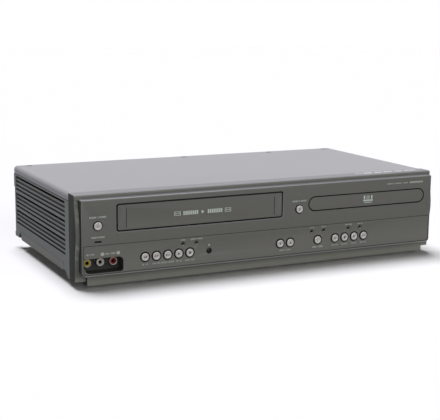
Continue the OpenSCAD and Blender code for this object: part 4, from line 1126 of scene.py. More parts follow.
@dataclass(frozen=True)
class Span:
    """Box of a CAD node at rest."""

    low: Array
    high: Array

    @classmethod
    def of(cls, node: str) -> "Span":
        """Box of the named node."""
        low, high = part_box(node)
        return cls(np.array(low), np.array(high))

    @property
    def middle(self) -> Array:
        """Middle of the box."""
        return (self.low + self.high) / 2

    @property
    def size(self) -> Array:
        """Length of the box along each axis."""
        return self.high - self.low


class Bench:
    """Where pieces are made, dressed and joined to their bodies."""

    def place(
        self,
        mesh: bpy.types.Mesh,
        name: str,
        finish: Finish,
        body: str,
        slot: str,
        replaces: Sequence[str] = (),
    ) -> bpy.types.Object:
        """Turns a mesh into a piece of the player.

        Args:
            mesh: the finished mesh, already at its place.
            name: name of the piece.
            finish: its finish.
            body: body that it moves with.
            slot: material slot of the record; not used.
            replaces: CAD nodes that it stands for.

        Returns:
            The new object.
        """
        piece = bpy.data.objects.new(name, mesh)
        bpy.context.scene.collection.objects.link(piece)
        mesh.materials.clear()
        mesh.materials.append(finish.material())
        for node in replaces:
            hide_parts(node)
        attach(piece, body)
        log.info("%s rides on %s", name, body)
        return piece

    def make(
        self,
        shape: Shape,
        name: str,
        finish: Finish,
        body: str,
        slot: str,
        replaces: Sequence[str] = (),
        sharp: float = SMOOTH,
    ) -> bpy.types.Object:
        """Places a gathered shape as a piece; the arguments are those of place and Shape.mesh."""
        return self.place(shape.mesh(name, sharp), name, finish, body, slot, replaces)

    def soften(
        self,
        node: str,
        name: str,
        finish: Finish,
        body: str,
        slot: str,
        width: float,
        inset: float = 0.0,
    ) -> bpy.types.Object:
        """Stands a copy with softened edges in for a CAD node.

        Args:
            node: the CAD node.
            name: name of the new piece.
            finish: its finish.
            body: body that it moves with.
            slot: material slot of the record.
            width: width of the bevel along its sharp edges.
            inset: how far its outline, seen from the front, stands back.

        Returns:
            The new object.
        """
        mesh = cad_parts[node].data.copy()
        mesh.name = name
        if inset:
            box = Span.of(node)
            share = 1 - 2 * inset / box.size
            middle = Matrix.Translation(Vector(box.middle))
            shrink = Matrix.Diagonal((share[0], 1, share[2], 1))
            mesh.transform(middle @ shrink @ middle.inverted())
        seal(mesh, SMOOTH_COPY, FLAT)
        piece = self.place(mesh, name, finish, body, slot, [node])
        bevel = piece.modifiers.new("edges", "BEVEL")
        bevel.width = width
        bevel.segments = 2
        bevel.limit_method = "ANGLE"
        bevel.angle_limit = math.radians(SOFT_EDGE)
        bevel.use_clamp_overlap = True
        bevel.harden_normals = True
        return piece

    def dress(self, node: str, finish: Finish) -> None:
        """Gives a CAD node that keeps its own mesh a finish.

        Args:
            node: the CAD node.
            finish: its finish.
        """
        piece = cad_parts[node]
        piece.data.materials.clear()
        piece.data.materials.append(finish.material())
        log.info("%s is finished as %s", node, finish.name)


bench = Bench()


# ---------------------------------------------------------------- cabinet


@dataclass
class Cabinet:
    """Cover, side panels, bottom pan, rear panel, feet and cover screws."""

    sheet_edge: float = 0.25 * MM
    moulded_edge: float = 0.35 * MM
    hook_top: float = 1.6 * MM
    foot_radius: float = 10.0 * MM
    foot_groove: float = 1.0 * MM
    foot_dish: float = 1.2 * MM
    foot_bevel: float = 0.6 * MM
    dish_ends: tuple[float, float] = (0.45, 0.55)
    dish_round: float = 0.4 * MM
    rim_round: float = 0.3 * MM
    groove_round: float = 0.2 * MM
    groove_rims: tuple[float, float] = (3.2 * MM, 5.4 * MM)
    groove_floor: tuple[float, float] = (3.6 * MM, 5.0 * MM)
    screw_head: float = 2.8 * MM
    screw_crown: float = 1.8 * MM
    screw_fall: float = 0.9 * MM
    screw_shank: float = 1.5 * MM
    screw_length: float = 5.0 * MM
    screw_tip: float = 0.5 * MM
    screw_recess: float = 1.0 * MM
    recess_arm: float = 0.38 * MM
    recess_share: float = 0.62
    dome_rings: int = 25
    dome_segments: int = 96

    def build(self) -> None:
        """Builds and dresses the whole cabinet."""
        edge = self.sheet_edge
        bench.soften("top_cover", "cover_shell", Finishes.COVER, "cabinet", "cover_paint", edge)
        for side in ("left", "right"):
            node = f"side_panel_{side}"
            box = Span.of(node)
            finish = replace(Finishes.SIDE, wall=float(max(-box.low[0], box.high[0])))
            name = f"side_{side}_shell"
            bench.soften(node, name, finish, "cabinet", "side_plastic", self.moulded_edge)
        # painted shade on the rear hooks above this height, where they show through the cover's
        # slots
        paint = replace(Finishes.REAR, ceiling=float(Span.of("top_cover").high[2]) - self.hook_top)
        bench.soften("rear_panel", "rear_shell", paint, "cabinet", "rear_paint", edge)
        bench.dress("bottom_pan", Finishes.PAN)
        self.feet()
        self.screws()
        bench.dress("cord_bushing", Finishes.BLACK)

    def feet(self) -> None:
        """Four turned rubber feet, each with a groove round it and a dished sole."""
        box = Span.of("feet")
        radius, height = self.foot_radius, box.size[2]
        waist = radius - self.foot_groove
        (rim_low, rim_high), (floor_low, floor_high) = self.groove_rims, self.groove_floor
        dish_floor, dish_mouth = (radius * share for share in self.dish_ends)
        profile = rounded([
            (0, -self.foot_dish),
            (dish_floor, -self.foot_dish, self.dish_round),
            (dish_mouth, 0, self.dish_round),
            (radius - self.foot_bevel, 0, self.rim_round),
            (radius, -rim_low, self.rim_round),
            (waist, -floor_low, self.groove_round),
            (waist, -floor_high, self.groove_round),
            (radius, -rim_high, self.rim_round),
            (radius, -height),
            (0, -height),
        ])
        shape = Shape()
        for x in (box.low[0] + radius, box.high[0] - radius):
            for y in (box.low[1] + radius, box.high[1] - radius):
                shape.lathe(profile, (x, y, box.low[2]), Facing.BOTTOM)
        bench.make(shape, "rubber_feet", Finishes.FOOT, "cabinet", "foot_rubber", ["feet"])

    def screws(self) -> None:
        """Cover screws with domed heads and a cross recess.

        The head's height over the polar grid is a dome less the recess depth wherever the
        point lies inside one of the two crossed bars.
        """
        box = Span.of("cover_screws")
        head, shank = self.screw_head, self.screw_shank
        share = np.linspace(0, 1, self.dome_rings)[:, None]
        angle = full_turn(self.dome_segments)
        radius = head * share * np.ones_like(angle)
        across = np.abs(radius * np.cos(angle))
        along = np.abs(radius * np.sin(angle))
        arms = np.minimum(across, along) < self.recess_arm
        cross = arms & (np.maximum(across, along) < head * self.recess_share)
        dome = self.screw_crown - self.screw_fall * share ** 3 * np.ones_like(angle)
        height = dome - self.screw_recess * cross
        rays, out = Facing.BACK.rays(len(angle))
        rim = [(head, 0.0), (shank, 0.0), (shank, -self.screw_length),
               (0.0, -self.screw_length - self.screw_tip)]
        shape = Shape()
        for screw in clusters("cover_screws", head):
            seat = np.array([screw[:, 0].mean(), box.high[1] - self.screw_crown, box.middle[2]])
            top = seat + radius[..., None] * rays + height[..., None] * out
            lower = [seat + reach * rays + depth * out for reach, depth in rim]
            shape.grid(np.concatenate([top, np.stack(lower)]), close_columns=True)
        bench.make(shape, "cross_screws", Finishes.SCREW, "cabinet", "screw_steel",
                   ["cover_screws"])


# ---------------------------------------------------------------- signs


class Sign:
    """Generic signs as lists of closed outlines about their own middle, about one unit high."""

    @staticmethod
    def play(direction: int = 1) -> list[Array]:
        """Triangle that points right, or left for a direction of -1."""
        tip = np.array([(-0.42, -0.5), (0.45, 0.0), (-0.42, 0.5)])
        return [tip * (direction, 1)]

    @staticmethod
    def wind(direction: int = 1) -> list[Array]:
        """Two triangles in a row for winding."""
        return [Sign.play(direction)[0] * 0.9 + (shift, 0) for shift in (-0.4, 0.4)]

    @staticmethod
    def skip(direction: int = 1) -> list[Array]:
        """Two triangles against a bar for the next or last track."""
        return Sign.wind(direction) + [oblong(direction * 0.95, 0, 0.18, 0.9)]

    @staticmethod
    def stop() -> list[Array]:
        """Square."""
        return [oblong(0, 0, 0.85, 0.85)]

    @staticmethod
    def pause() -> list[Array]:
        """Two upright bars."""
        return [oblong(side * 0.28, 0, 0.26, 0.95) for side in (-1, 1)]

    @staticmethod
    def record() -> list[Array]:
        """Full round dot."""
        return [ellipse(0, 0, 0.9, 0.9)]

    @staticmethod
    def eject() -> list[Array]:
        """Triangle that points up over a bar."""
        return [np.array([(-0.5, -0.1), (0.5, -0.1), (0.0, 0.5)]), oblong(0, -0.38, 1.0, 0.2)]

    @staticmethod
    def stop_eject() -> list[Array]:
        """Stop and eject side by side."""
        pair = ((-0.6, Sign.stop()), (0.6, Sign.eject()))
        return [outline * 0.9 + (shift, 0) for shift, sign in pair for outline in sign]

    @staticmethod
    def arrow(direction: int = 1) -> list[Array]:
        """Triangle that points up, or down for a direction of -1."""
        return [np.array([(-0.5, -0.35), (0.5, -0.35), (0.0, 0.45)]) * (1, direction)]

    @staticmethod
    def standby() -> list[Array]:
        """Open ring with an upright bar in its gap."""
        return [arc_band(0.42, 0.14, 125, 415), oblong(0, 0.32, 0.15, 0.5)]

    @staticmethod
    def ring(stretch: float = 1.0) -> list[Array]:
        """Ring, or a level oval for a stretch of more than one."""
        return [arc_band(0.42, 0.12, 0, 359) * (stretch, 1)]

    @staticmethod
    def clock() -> list[Array]:
        """Ring with two hands."""
        return Sign.ring() + [oblong(0, 0.14, 0.1, 0.32), oblong(0.12, 0, 0.28, 0.1)]

    @staticmethod
    def disc() -> list[Array]:
        """Disc with its hub."""
        return [arc_band(0.44, 0.12, 0, 359, 40), arc_band(0.14, 0.09, 0, 359, 24)]

    @staticmethod
    def cassette() -> list[Array]:
        """Cassette.

        Returns:
            Four bars round it, two reels and a bar between them.
        """
        edges = [oblong(0, side * 0.46, 1.7, 0.1) for side in (-1, 1)]
        edges += [oblong(side * 0.81, 0, 0.1, 0.84) for side in (-1, 1)]
        reels = [arc_band(0.17, 0.09, 0, 359, 24) + (side * 0.42, 0.02) for side in (-1, 1)]
        return edges + reels + [oblong(0, 0.02, 0.28, 0.09)]

    @staticmethod
    def dash(width: float, thickness: float = 0.22) -> list[Array]:
        """Level bar."""
        return [oblong(0, 0, width, thickness)]

    @staticmethod
    def numeral(digit: int) -> list[Array]:
        """Digit from one to five, drawn with some of seven bars.

        Args:
            digit: the digit.

        Returns:
            The bars' outlines.
        """
        bars = {name: oblong(0, z, 0.5, 0.14)
                for name, z in (("top", 0.43), ("middle", 0), ("bottom", -0.43))}
        for name, z in (("upper", 0.22), ("lower", -0.22)):
            for side, x in (("left", -0.25), ("right", 0.25)):
                bars[f"{name}_{side}"] = oblong(x, z, 0.14, 0.56)
        strokes = {
            1: "upper_right lower_right",
            2: "top upper_right middle lower_left bottom",
            3: "top upper_right middle lower_right bottom",
            4: "upper_left upper_right middle lower_right",
            5: "top upper_left middle lower_right bottom",
        }
        return [bars[name] for name in strokes[digit].split()]

    @staticmethod
    def scale(width: float, fill: float = 0.6, pitch: float = 0.62) -> list[Array]:
        """Row of upright bars like those of a level scale.

        Args:
            width: width of the row, in units of its height.
            fill: share of the pitch that a bar takes.
            pitch: distance from bar to bar before it is fitted to the width.

        Returns:
            The bars' outlines.
        """
        count = max(1, round(width / pitch))
        step = width / count
        middles = (np.arange(count) + 0.5) * step - width / 2
        return [oblong(float(x), 0, step * fill, 1.0) for x in middles]

    @staticmethod
    def patch(width: float, height: float) -> list[Array]:
        """Rectangle with round corners."""
        x, z, r = width / 2, height / 2, height * 0.22
        return [rounded([(-x, -z, r), (x, -z, r), (x, z, r), (-x, z, r)], closed=True)]


@dataclass(frozen=True)
class Caption:
    """Size of a sign with bars, and how far right and up it stands, in millimetres.

    The fill is the share of the pitch that a bar takes.
    """

    width: float
    height: float
    right: float = 0.0
    up: float = 0.0
    fill: float = 0.6


@dataclass
class Printer:
    """Prints signs on a level surface as skins of ink."""

    surface: float
    facing: Facing
    thickness: float = 0.05 * MM
    proud: float = 0.03 * MM
    gap: float = 0.3
    shape: Shape = field(default_factory=Shape)

    def stamp(self, sign: Sequence[Array], first: float, second: float, height: float) -> None:
        """Adds one sign.

        Args:
            sign: outlines of a sign one unit high.
            first: x of its middle.
            second: z of its middle, or y on a level surface.
            height: height of the sign.
        """
        right, up, out = self.facing.axes()
        normal = int(np.argmax(np.abs(out)))
        base = np.zeros(3)
        base[normal] = self.surface + out[normal] * self.proud
        start = np.abs(right) * first + np.abs(up) * second + base
        for outline in sign:
            self.shape.plate(outline * height, start, self.facing, self.thickness)

    def flanked(self, sign: Sequence[Array], x: float, z: float, caption: Caption) -> None:
        """Adds a sign between two rows of bars that fill a width together.

        Args:
            sign: outlines of the sign in the middle, or none for bars alone.
            x: x of the place that the caption is measured from.
            z: its z.
            caption: size and shift of the whole.
        """
        x, z = x + caption.right * MM, z + caption.up * MM
        height = caption.height * MM
        width = caption.width * MM / height
        if not sign:
            self.stamp(Sign.scale(width, caption.fill), x, z, height)
            return
        reach = half_width(sign) + self.gap
        side = width / 2 - reach
        rows = [bar + (way * (reach + side / 2), 0)
                for way in (-1, 1) for bar in Sign.scale(side, caption.fill)]
        self.stamp([*sign, *rows], x, z, height)


def half_width(sign: Sequence[Array]) -> float:
    """Farthest reach of a sign's outlines from its middle, to the side."""
    return max(float(np.abs(outline[:, 0]).max()) for outline in sign)


# ---------------------------------------------------------------- front


@dataclass
class Fascia:
    """Moulded front, control panel, cassette flap, tray front and their print.

    Spans and what goes into captions are in millimetres, all other lengths in metres.
    """

    edge: float = 0.22 * MM
    # past this depth the bezel takes its dark unpainted tone, also painted shade in its openings
    skin: float = 0.35 * MM
    # the same depth for flap, tray front and panel, so the gaps round them take painted shade
    inset_skin: float = 0.08 * MM
    reach: float = 10.2 * MM
    crest: float = 4.7 * MM
    # painted reflection on what looks up
    crown: Colour = (0.135, 0.131, 0.147)
    # painted highlight on the rounded edges of the bezel
    painted_highlight: Colour = (0.250, 0.255, 0.262)
    insets: Mapping[str, float] = field(
        default_factory=lambda: {"cassette_flap": 0.45 * MM, "tray_front": 0.22 * MM})
    # painted light from the floor on the control panel, lighter towards its foot
    panel_painted_bounce: float = 0.25
    # how far under the control panel the bezel's painted light from the floor starts
    painted_bounce_drop: float = 1.5 * MM
    upper_line: float = 8.9 * MM
    standby_caption: Caption = Caption(18.0, 2.0)
    window_caption: Caption = Caption(14.0, 1.6, up=4.8)
    eject_caption: Caption = Caption(18.0, 1.9, right=-0.4)
    tray_end: float = 1.4 * MM
    tray_captions: Sequence[Caption] = (
        Caption(20.0, 1.6, -39.4, 8.5, 0.5), Caption(6.2, 1.6, -24.0, 8.5, 0.5),
        Caption(18.6, 1.9, -9.3, 8.5, 0.78))
    lower_line: float = 7.8 * MM
    number_height: float = 1.6
    tape_widths: Sequence[float] = (6.4, 8.8, 14.6, 6.6, 11.0)
    disc_widths: Sequence[float] = (7.8, 7.8, 7.0, 8.0)
    tracking_caption: Caption = Caption(14.0, 1.6)
    tracking_shift: float = 0.55
    source_caption: Caption = Caption(13.2, 1.8, fill=0.75)
    lamp_widths: Sequence[float] = (5.1, 14.0, 5.5, 5.4, 8.6, 6.4)
    lamp_caption: Caption = Caption(0.0, 1.5, up=4.0)
    sensor_line: float = 6.2 * MM
    sensor_mark: float = 2.2 * MM
    picture_caption: Caption = Caption(8.6, 1.6, 5.4, 0.5)
    sound_caption: Caption = Caption(10.6, 1.6, 8.4)
    jack_line: float = 3.0 * MM
    jack_patch: float = 3.2 * MM
    patch_shifts: tuple[float, float] = (0.2 * MM, -1.2 * MM)
    flap_shift: float = 0.3 * MM
    flap_line: float = 12.7 * MM
    flap_height: float = 4.2 * MM
    flap_cassette: float = 29.2 * MM
    flap_bars: float = 14.0 * MM
    flap_bars_width: float = 4.2
    flap_arrow: float = 0.9
    disc_caption: Caption = Caption(13.0, 4.0, 0.4, 2.6, 0.55)
    disc_rows: Sequence[Caption] = (
        Caption(12.8, 2.0, 0.4, -1.0, 0.8), Caption(10.4, 1.3, 0.4, -3.4, 0.5))
    rim_line: float = 21.5 * MM
    rim_height: float = 5.4 * MM
    rim_spans: Sequence[tuple[float, float]] = (
        (133.0, 145.0), (148.1, 158.6), (160.6, 172.6), (175.5, 186.6), (189.2, 205.6))
    rim_mark: Caption = Caption(10.0, 2.2, right=127.0, fill=0.75)

    def build(self) -> None:
        """Builds the pieces of the front."""
        pieces = {
            "front_bezel": ("bezel_shell", Finishes.FASCIA, "cabinet", "bezel_plastic"),
            "control_panel": ("panel_plate", Finishes.PANEL, "cabinet", "panel_plastic"),
            "cassette_flap": ("flap_door", Finishes.FASCIA, "flap", "bezel_plastic"),
            "tray_front": ("tray_fascia", Finishes.FASCIA, "tray", "bezel_plastic"),
        }
        for node, (name, finish, body, slot) in pieces.items():
            box = Span.of(node)
            # past the skin each piece takes its dark unpainted tone, also painted shade in the gaps
            sprayed = replace(
                finish, name=f"{name}_lacquer", front=float(box.low[1]), skin=self.inset_skin)
            if node == "front_bezel":
                # the bezel also gets a painted reflection on top, painted highlights on edges and
                # painted light from the floor on its skirt
                sprayed = replace(
                    sprayed, skin=self.skin, reach=self.reach, crown=self.crown, painted_highlight=self.painted_highlight,
                    crest=float(box.high[2]) - self.crest,
                    painted_bounce=float(Span.of("control_panel").low[2]) - self.painted_bounce_drop)
            # the control panel gets painted light from the floor over its whole height
            if node == "control_panel":
                sprayed = replace(sprayed, painted_bounce=float(box.high[2]), painted_bounce_depth=float(box.size[2]),
                                  painted_bounce_gain=self.panel_painted_bounce)
            bench.soften(node, name, sprayed, body, slot, self.edge, self.insets.get(node, 0.0))
        self.print_bezel()
        self.print_panel()
        self.print_flap()
        self.print_tray()
        self.print_rim()

    def print_bezel(self) -> None:
        """Signs on the upper part of the front."""
        printer = Printer(Span.of("control_panel").low[1], Facing.FRONT)
        standby = Span.of("button_standby").middle
        eject = Span.of("button_tray").middle
        window = Span.of("standby_window").middle
        line = standby[2] + self.upper_line
        printer.flanked(Sign.standby(), standby[0], line, self.standby_caption)
        printer.flanked(Sign.record(), standby[0], window[2], self.window_caption)
        printer.flanked(Sign.eject(), eject[0], line, self.eject_caption)
        corner = Span.of("tray_front").high
        for sign, caption in zip((Sign.disc(), [], []), self.tray_captions):
            printer.flanked(sign, corner[0] - self.tray_end, corner[2], caption)
        bench.make(printer.shape, "bezel_print", Finishes.PRINT, "cabinet", "white_plastic")

    def print_panel(self) -> None:
        """Signs on the control panel."""
        printer = Printer(Span.of("control_panel").low[1], Facing.FRONT)
        for row, widths in (("tape", self.tape_widths), ("disc", self.disc_widths)):
            for i, width in enumerate(widths, 1):
                x, _, z = Span.of(f"button_{row}_{i}").middle
                caption = Caption(width, self.number_height)
                printer.flanked(Sign.numeral(i), x, z - self.lower_line, caption)
        left = Span.of("button_tracking_1").middle
        right = Span.of("button_tracking_2").middle
        middle = (left + right) / 2
        line = middle[2] - self.lower_line
        both = [arrow + (way * self.tracking_shift, 0)
                for way in (-1, 1) for arrow in Sign.arrow(way)]
        printer.flanked(both, middle[0], line, self.tracking_caption)
        source = Span.of("button_source").middle
        printer.flanked(Sign.cassette(), source[0], line, self.source_caption)
        signs = (Sign.record(), Sign.clock(), Sign.cassette(),
                 Sign.disc(), Sign.pause(), Sign.play())
        for (x, z), sign, width in zip(self.lamp_places(), signs, self.lamp_widths):
            printer.flanked(sign, x, z, replace(self.lamp_caption, width=width))
        sensor = Span.of("sensor_window").middle
        printer.stamp(Sign.stop(), sensor[0], sensor[2] + self.sensor_line, self.sensor_mark)
        self.print_jack_signs(printer)
        bench.make(printer.shape, "panel_print", Finishes.PRINT, "cabinet", "white_plastic")

    def print_jack_signs(self, printer: Printer) -> None:
        """Signs over the front jacks: a screen for the picture, two channels for the sound.

        Args:
            printer: the printer of the control panel.
        """
        shells = Span.of("front_jack_shells")
        first, last = shells.low[0], shells.high[0]
        middle = (first + last) / 2
        line = Span.of("jack_recess").high[2] + self.jack_line
        printer.flanked(Sign.ring(stretch=1.5), first, line, self.picture_caption)
        printer.flanked(Sign.dash(0.8, thickness=0.25), middle, line, self.sound_caption)
        for x, shift in zip((middle, last), self.patch_shifts):
            printer.stamp(Sign.patch(width=1.15, height=1.0), x + shift, line, self.jack_patch)

    def lamp_places(self) -> list[tuple[float, float]]:
        """Finds the indicator lights.

        Returns:
            The middle of each, from the clusters of their CAD node's points.
        """
        box = Span.of("indicator_lights")
        level = float(box.middle[2])
        lights = clusters("indicator_lights", box.size[2])
        return [(float(p[:, 0].min() + p[:, 0].max()) / 2, level) for p in lights]

    def print_flap(self) -> None:
        """Two cassettes with bold level bars between them across the flap."""
        box = Span.of("cassette_flap")
        x, z = box.middle[0] + self.flap_shift, box.low[2] + self.flap_line
        printer = Printer(box.low[1], Facing.FRONT)
        for way in (-1, 1):
            printer.stamp(Sign.cassette(), x + way * self.flap_cassette, z, self.flap_height)
            bars = Sign.scale(self.flap_bars_width, fill=0.62, pitch=0.5)
            printer.stamp(bars, x + way * self.flap_bars, z, self.flap_height)
        printer.stamp(Sign.play(), x, z, self.flap_height * self.flap_arrow)
        bench.make(printer.shape, "flap_print", Finishes.BOLD_PRINT, "flap", "white_plastic")

    def print_tray(self) -> None:
        """Disc sign between bars, over two rows of finer bars, on the tray front."""
        box = Span.of("tray_front")
        printer = Printer(box.low[1], Facing.FRONT)
        x, _, z = box.middle
        printer.flanked(Sign.disc(), x, z, self.disc_caption)
        for row in self.disc_rows:
            printer.flanked([], x, z, row)
        bench.make(printer.shape, "tray_print", Finishes.BOLD_PRINT, "tray", "white_plastic")

    def print_rim(self) -> None:
        """Row of pale bars along the top of the rim, at its right end."""
        box = Span.of("front_bezel")
        printer = Printer(box.high[2], Facing.TOP)
        y = box.low[1] + self.rim_line
        for start, end in self.rim_spans:
            bars = Sign.scale((end - start) * MM / self.rim_height, fill=0.75, pitch=0.4)
            printer.stamp(bars, (start + end) / 2 * MM, y, self.rim_height)
        printer.flanked([], 0.0, y, self.rim_mark)
        bench.make(printer.shape, "rim_print", Finishes.RIM_PRINT, "cabinet", "white_plastic")


@dataclass
class PushButtons:
    """Fourteen round caps, each with a shallow dish and a dark sign in it."""

    cap_radius: float = 4.2 * MM
    dish_radius: float = 2.55 * MM
    dish_depth: float = 0.36 * MM
    dish_slope: float = 0.35 * MM
    dish_round: float = 0.5 * MM
    lip_round: float = 0.2 * MM
    edge_radius: float = 0.7 * MM
    flange_radius: float = 5.95 * MM
    flange_depth: float = 3.6 * MM
    flange_thickness: float = 1.2 * MM
    flange_round: float = 0.1 * MM
    stem_radius: float = 1.6 * MM
    stem_round: float = 0.2 * MM
    sign_height: float = 2.8 * MM
    sign_share: float = 0.72
    # past this depth the cap takes its dark unpainted tone, also painted shade in the gap round it
    skin: float = 0.7 * MM

    def build(self) -> None:
        """Builds every cap and its sign."""
        signs = {
            "standby": Sign.standby(), "tray": Sign.eject(),
            "source": Sign.dash(0.6, thickness=0.2),
            "tape_1": Sign.wind(-1), "tape_2": Sign.wind(1), "tape_3": Sign.stop_eject(),
            "tape_4": Sign.play(), "tape_5": Sign.record(),
            "tracking_1": Sign.arrow(-1), "tracking_2": Sign.arrow(1),
            "disc_1": Sign.skip(-1), "disc_2": Sign.stop(),
            "disc_3": Sign.play(), "disc_4": Sign.skip(1),
        }
        for name, sign in signs.items():
            self.cap(f"button_{name}", sign)

    def cap(self, node: str, sign: Sequence[Array]) -> None:
        """Builds one cap.

        Args:
            node: the CAD node that it stands for.
            sign: outlines of its sign.
        """
        box = Span.of(node)
        x, _, z = box.middle
        front = float(box.low[1])
        depth = box.size[1]
        flange_front = -self.flange_depth
        flange_back = flange_front - self.flange_thickness
        profile = rounded([
            (0, -self.dish_depth),
            (self.dish_radius, -self.dish_depth, self.dish_round),
            (self.dish_radius + self.dish_slope, 0, self.lip_round),
            (self.cap_radius, 0, self.edge_radius),
            (self.cap_radius, flange_front, self.flange_round),
            (self.flange_radius, flange_front, self.flange_round),
            (self.flange_radius, flange_back, self.flange_round),
            (self.stem_radius, flange_back, self.stem_round),
            (self.stem_radius, -depth, self.stem_round),
            (0, -depth),
        ])
        shape = Shape().lathe(profile, (x, front, z), Facing.FRONT)
        # the cap's sides past the skin are dark: painted shade in the gap
        finish = replace(Finishes.CAP, front=front, skin=self.skin)
        bench.make(shape, f"{node}_cap", finish, node, "button_silver", [node], SOFT_EDGE)
        printer = Printer(box.low[1] + self.dish_depth, Facing.FRONT)
        height = self.sign_height * min(1.0, self.sign_share / half_width(sign))
        printer.stamp(sign, x, z, height)
        bench.make(printer.shape, f"{node}_sign", Finishes.CAP_INK, node, "black_plastic")


@dataclass
class Windows:
    """Indicator lights in lacquered collars, standby window and remote sensor window."""

    crown: float = 0.35 * MM
    pupil: float = 0.78
    funnel: float = 1.05
    collar_depth: float = 2.0 * MM
    flange_width: float = 0.5 * MM
    flange_low: float = 0.01 * MM
    flange_high: float = 0.03 * MM
    lip: float = 0.25 * MM
    dome_rings: int = 9
    lamp_segments: int = 32
    sensor_segments: int = 40

    def build(self, lamps: Sequence[tuple[float, float]]) -> None:
        """Builds the lenses and the collars.

        Args:
            lamps: middles of the indicator lights.
        """
        box = Span.of("indicator_lights")
        radius = box.size[2] / 2
        inner = radius * self.pupil
        mouth = radius * self.funnel
        sunk = mouth - inner
        flange = radius + self.flange_width
        face = Span.of("control_panel").low[1]
        collar = np.array([
            (flange, self.flange_high), (mouth, self.flange_high), (inner, -sunk),
            (inner, -self.collar_depth), (radius, -self.collar_depth),
            (radius, self.flange_low), (flange, self.flange_low),
        ])
        lens = self.lens(inner, box.size[1] - sunk)
        lenses, collars = Shape(), Shape()
        for x, z in lamps:
            place = (x, box.low[1] + sunk, z)
            lenses.lathe(lens, place, Facing.FRONT, self.lamp_segments)
            place = (x, face, z)
            collars.lathe(collar, place, Facing.FRONT, self.lamp_segments, close=True)
        bench.make(lenses, "lamp_lenses", Finishes.LAMP, "cabinet", "window_red",
                   ["indicator_lights"], SMOOTH_LENS)
        # the collars' crown is a painted highlight on their lower, up-facing part
        bench.make(collars, "lamp_collars", Finishes.COLLAR, "cabinet", "panel_plastic",
                   sharp=SOFT_EDGE)
        box = Span.of("sensor_window")
        x, _, z = box.middle
        lens = self.lens(box.size[2] / 2, box.size[1])
        place = (x, box.low[1], z)
        shape = Shape().lathe(lens, place, Facing.FRONT, self.sensor_segments)
        bench.make(shape, "sensor_lens", Finishes.SENSOR, "cabinet", "window_dark",
                   ["sensor_window"], SMOOTH_LENS)
        bench.soften("standby_window", "standby_lens", Finishes.LAMP, "cabinet", "window_red",
                     self.lip)

    def lens(self, radius: float, length: float) -> Array:
        """Profile of a light guide whose front is a dome: a parabola over the radius.

        Args:
            radius: radius of the guide.
            length: its length.

        Returns:
            The profile as (radius, distance towards the viewer).
        """
        ring = np.linspace(0, 1, self.dome_rings)
        dome = np.column_stack([ring * radius, -self.crown * ring ** 2])
        return np.vstack([dome, [(radius, -length), (0, -length)]])


# ---------------------------------------------------------------- jacks


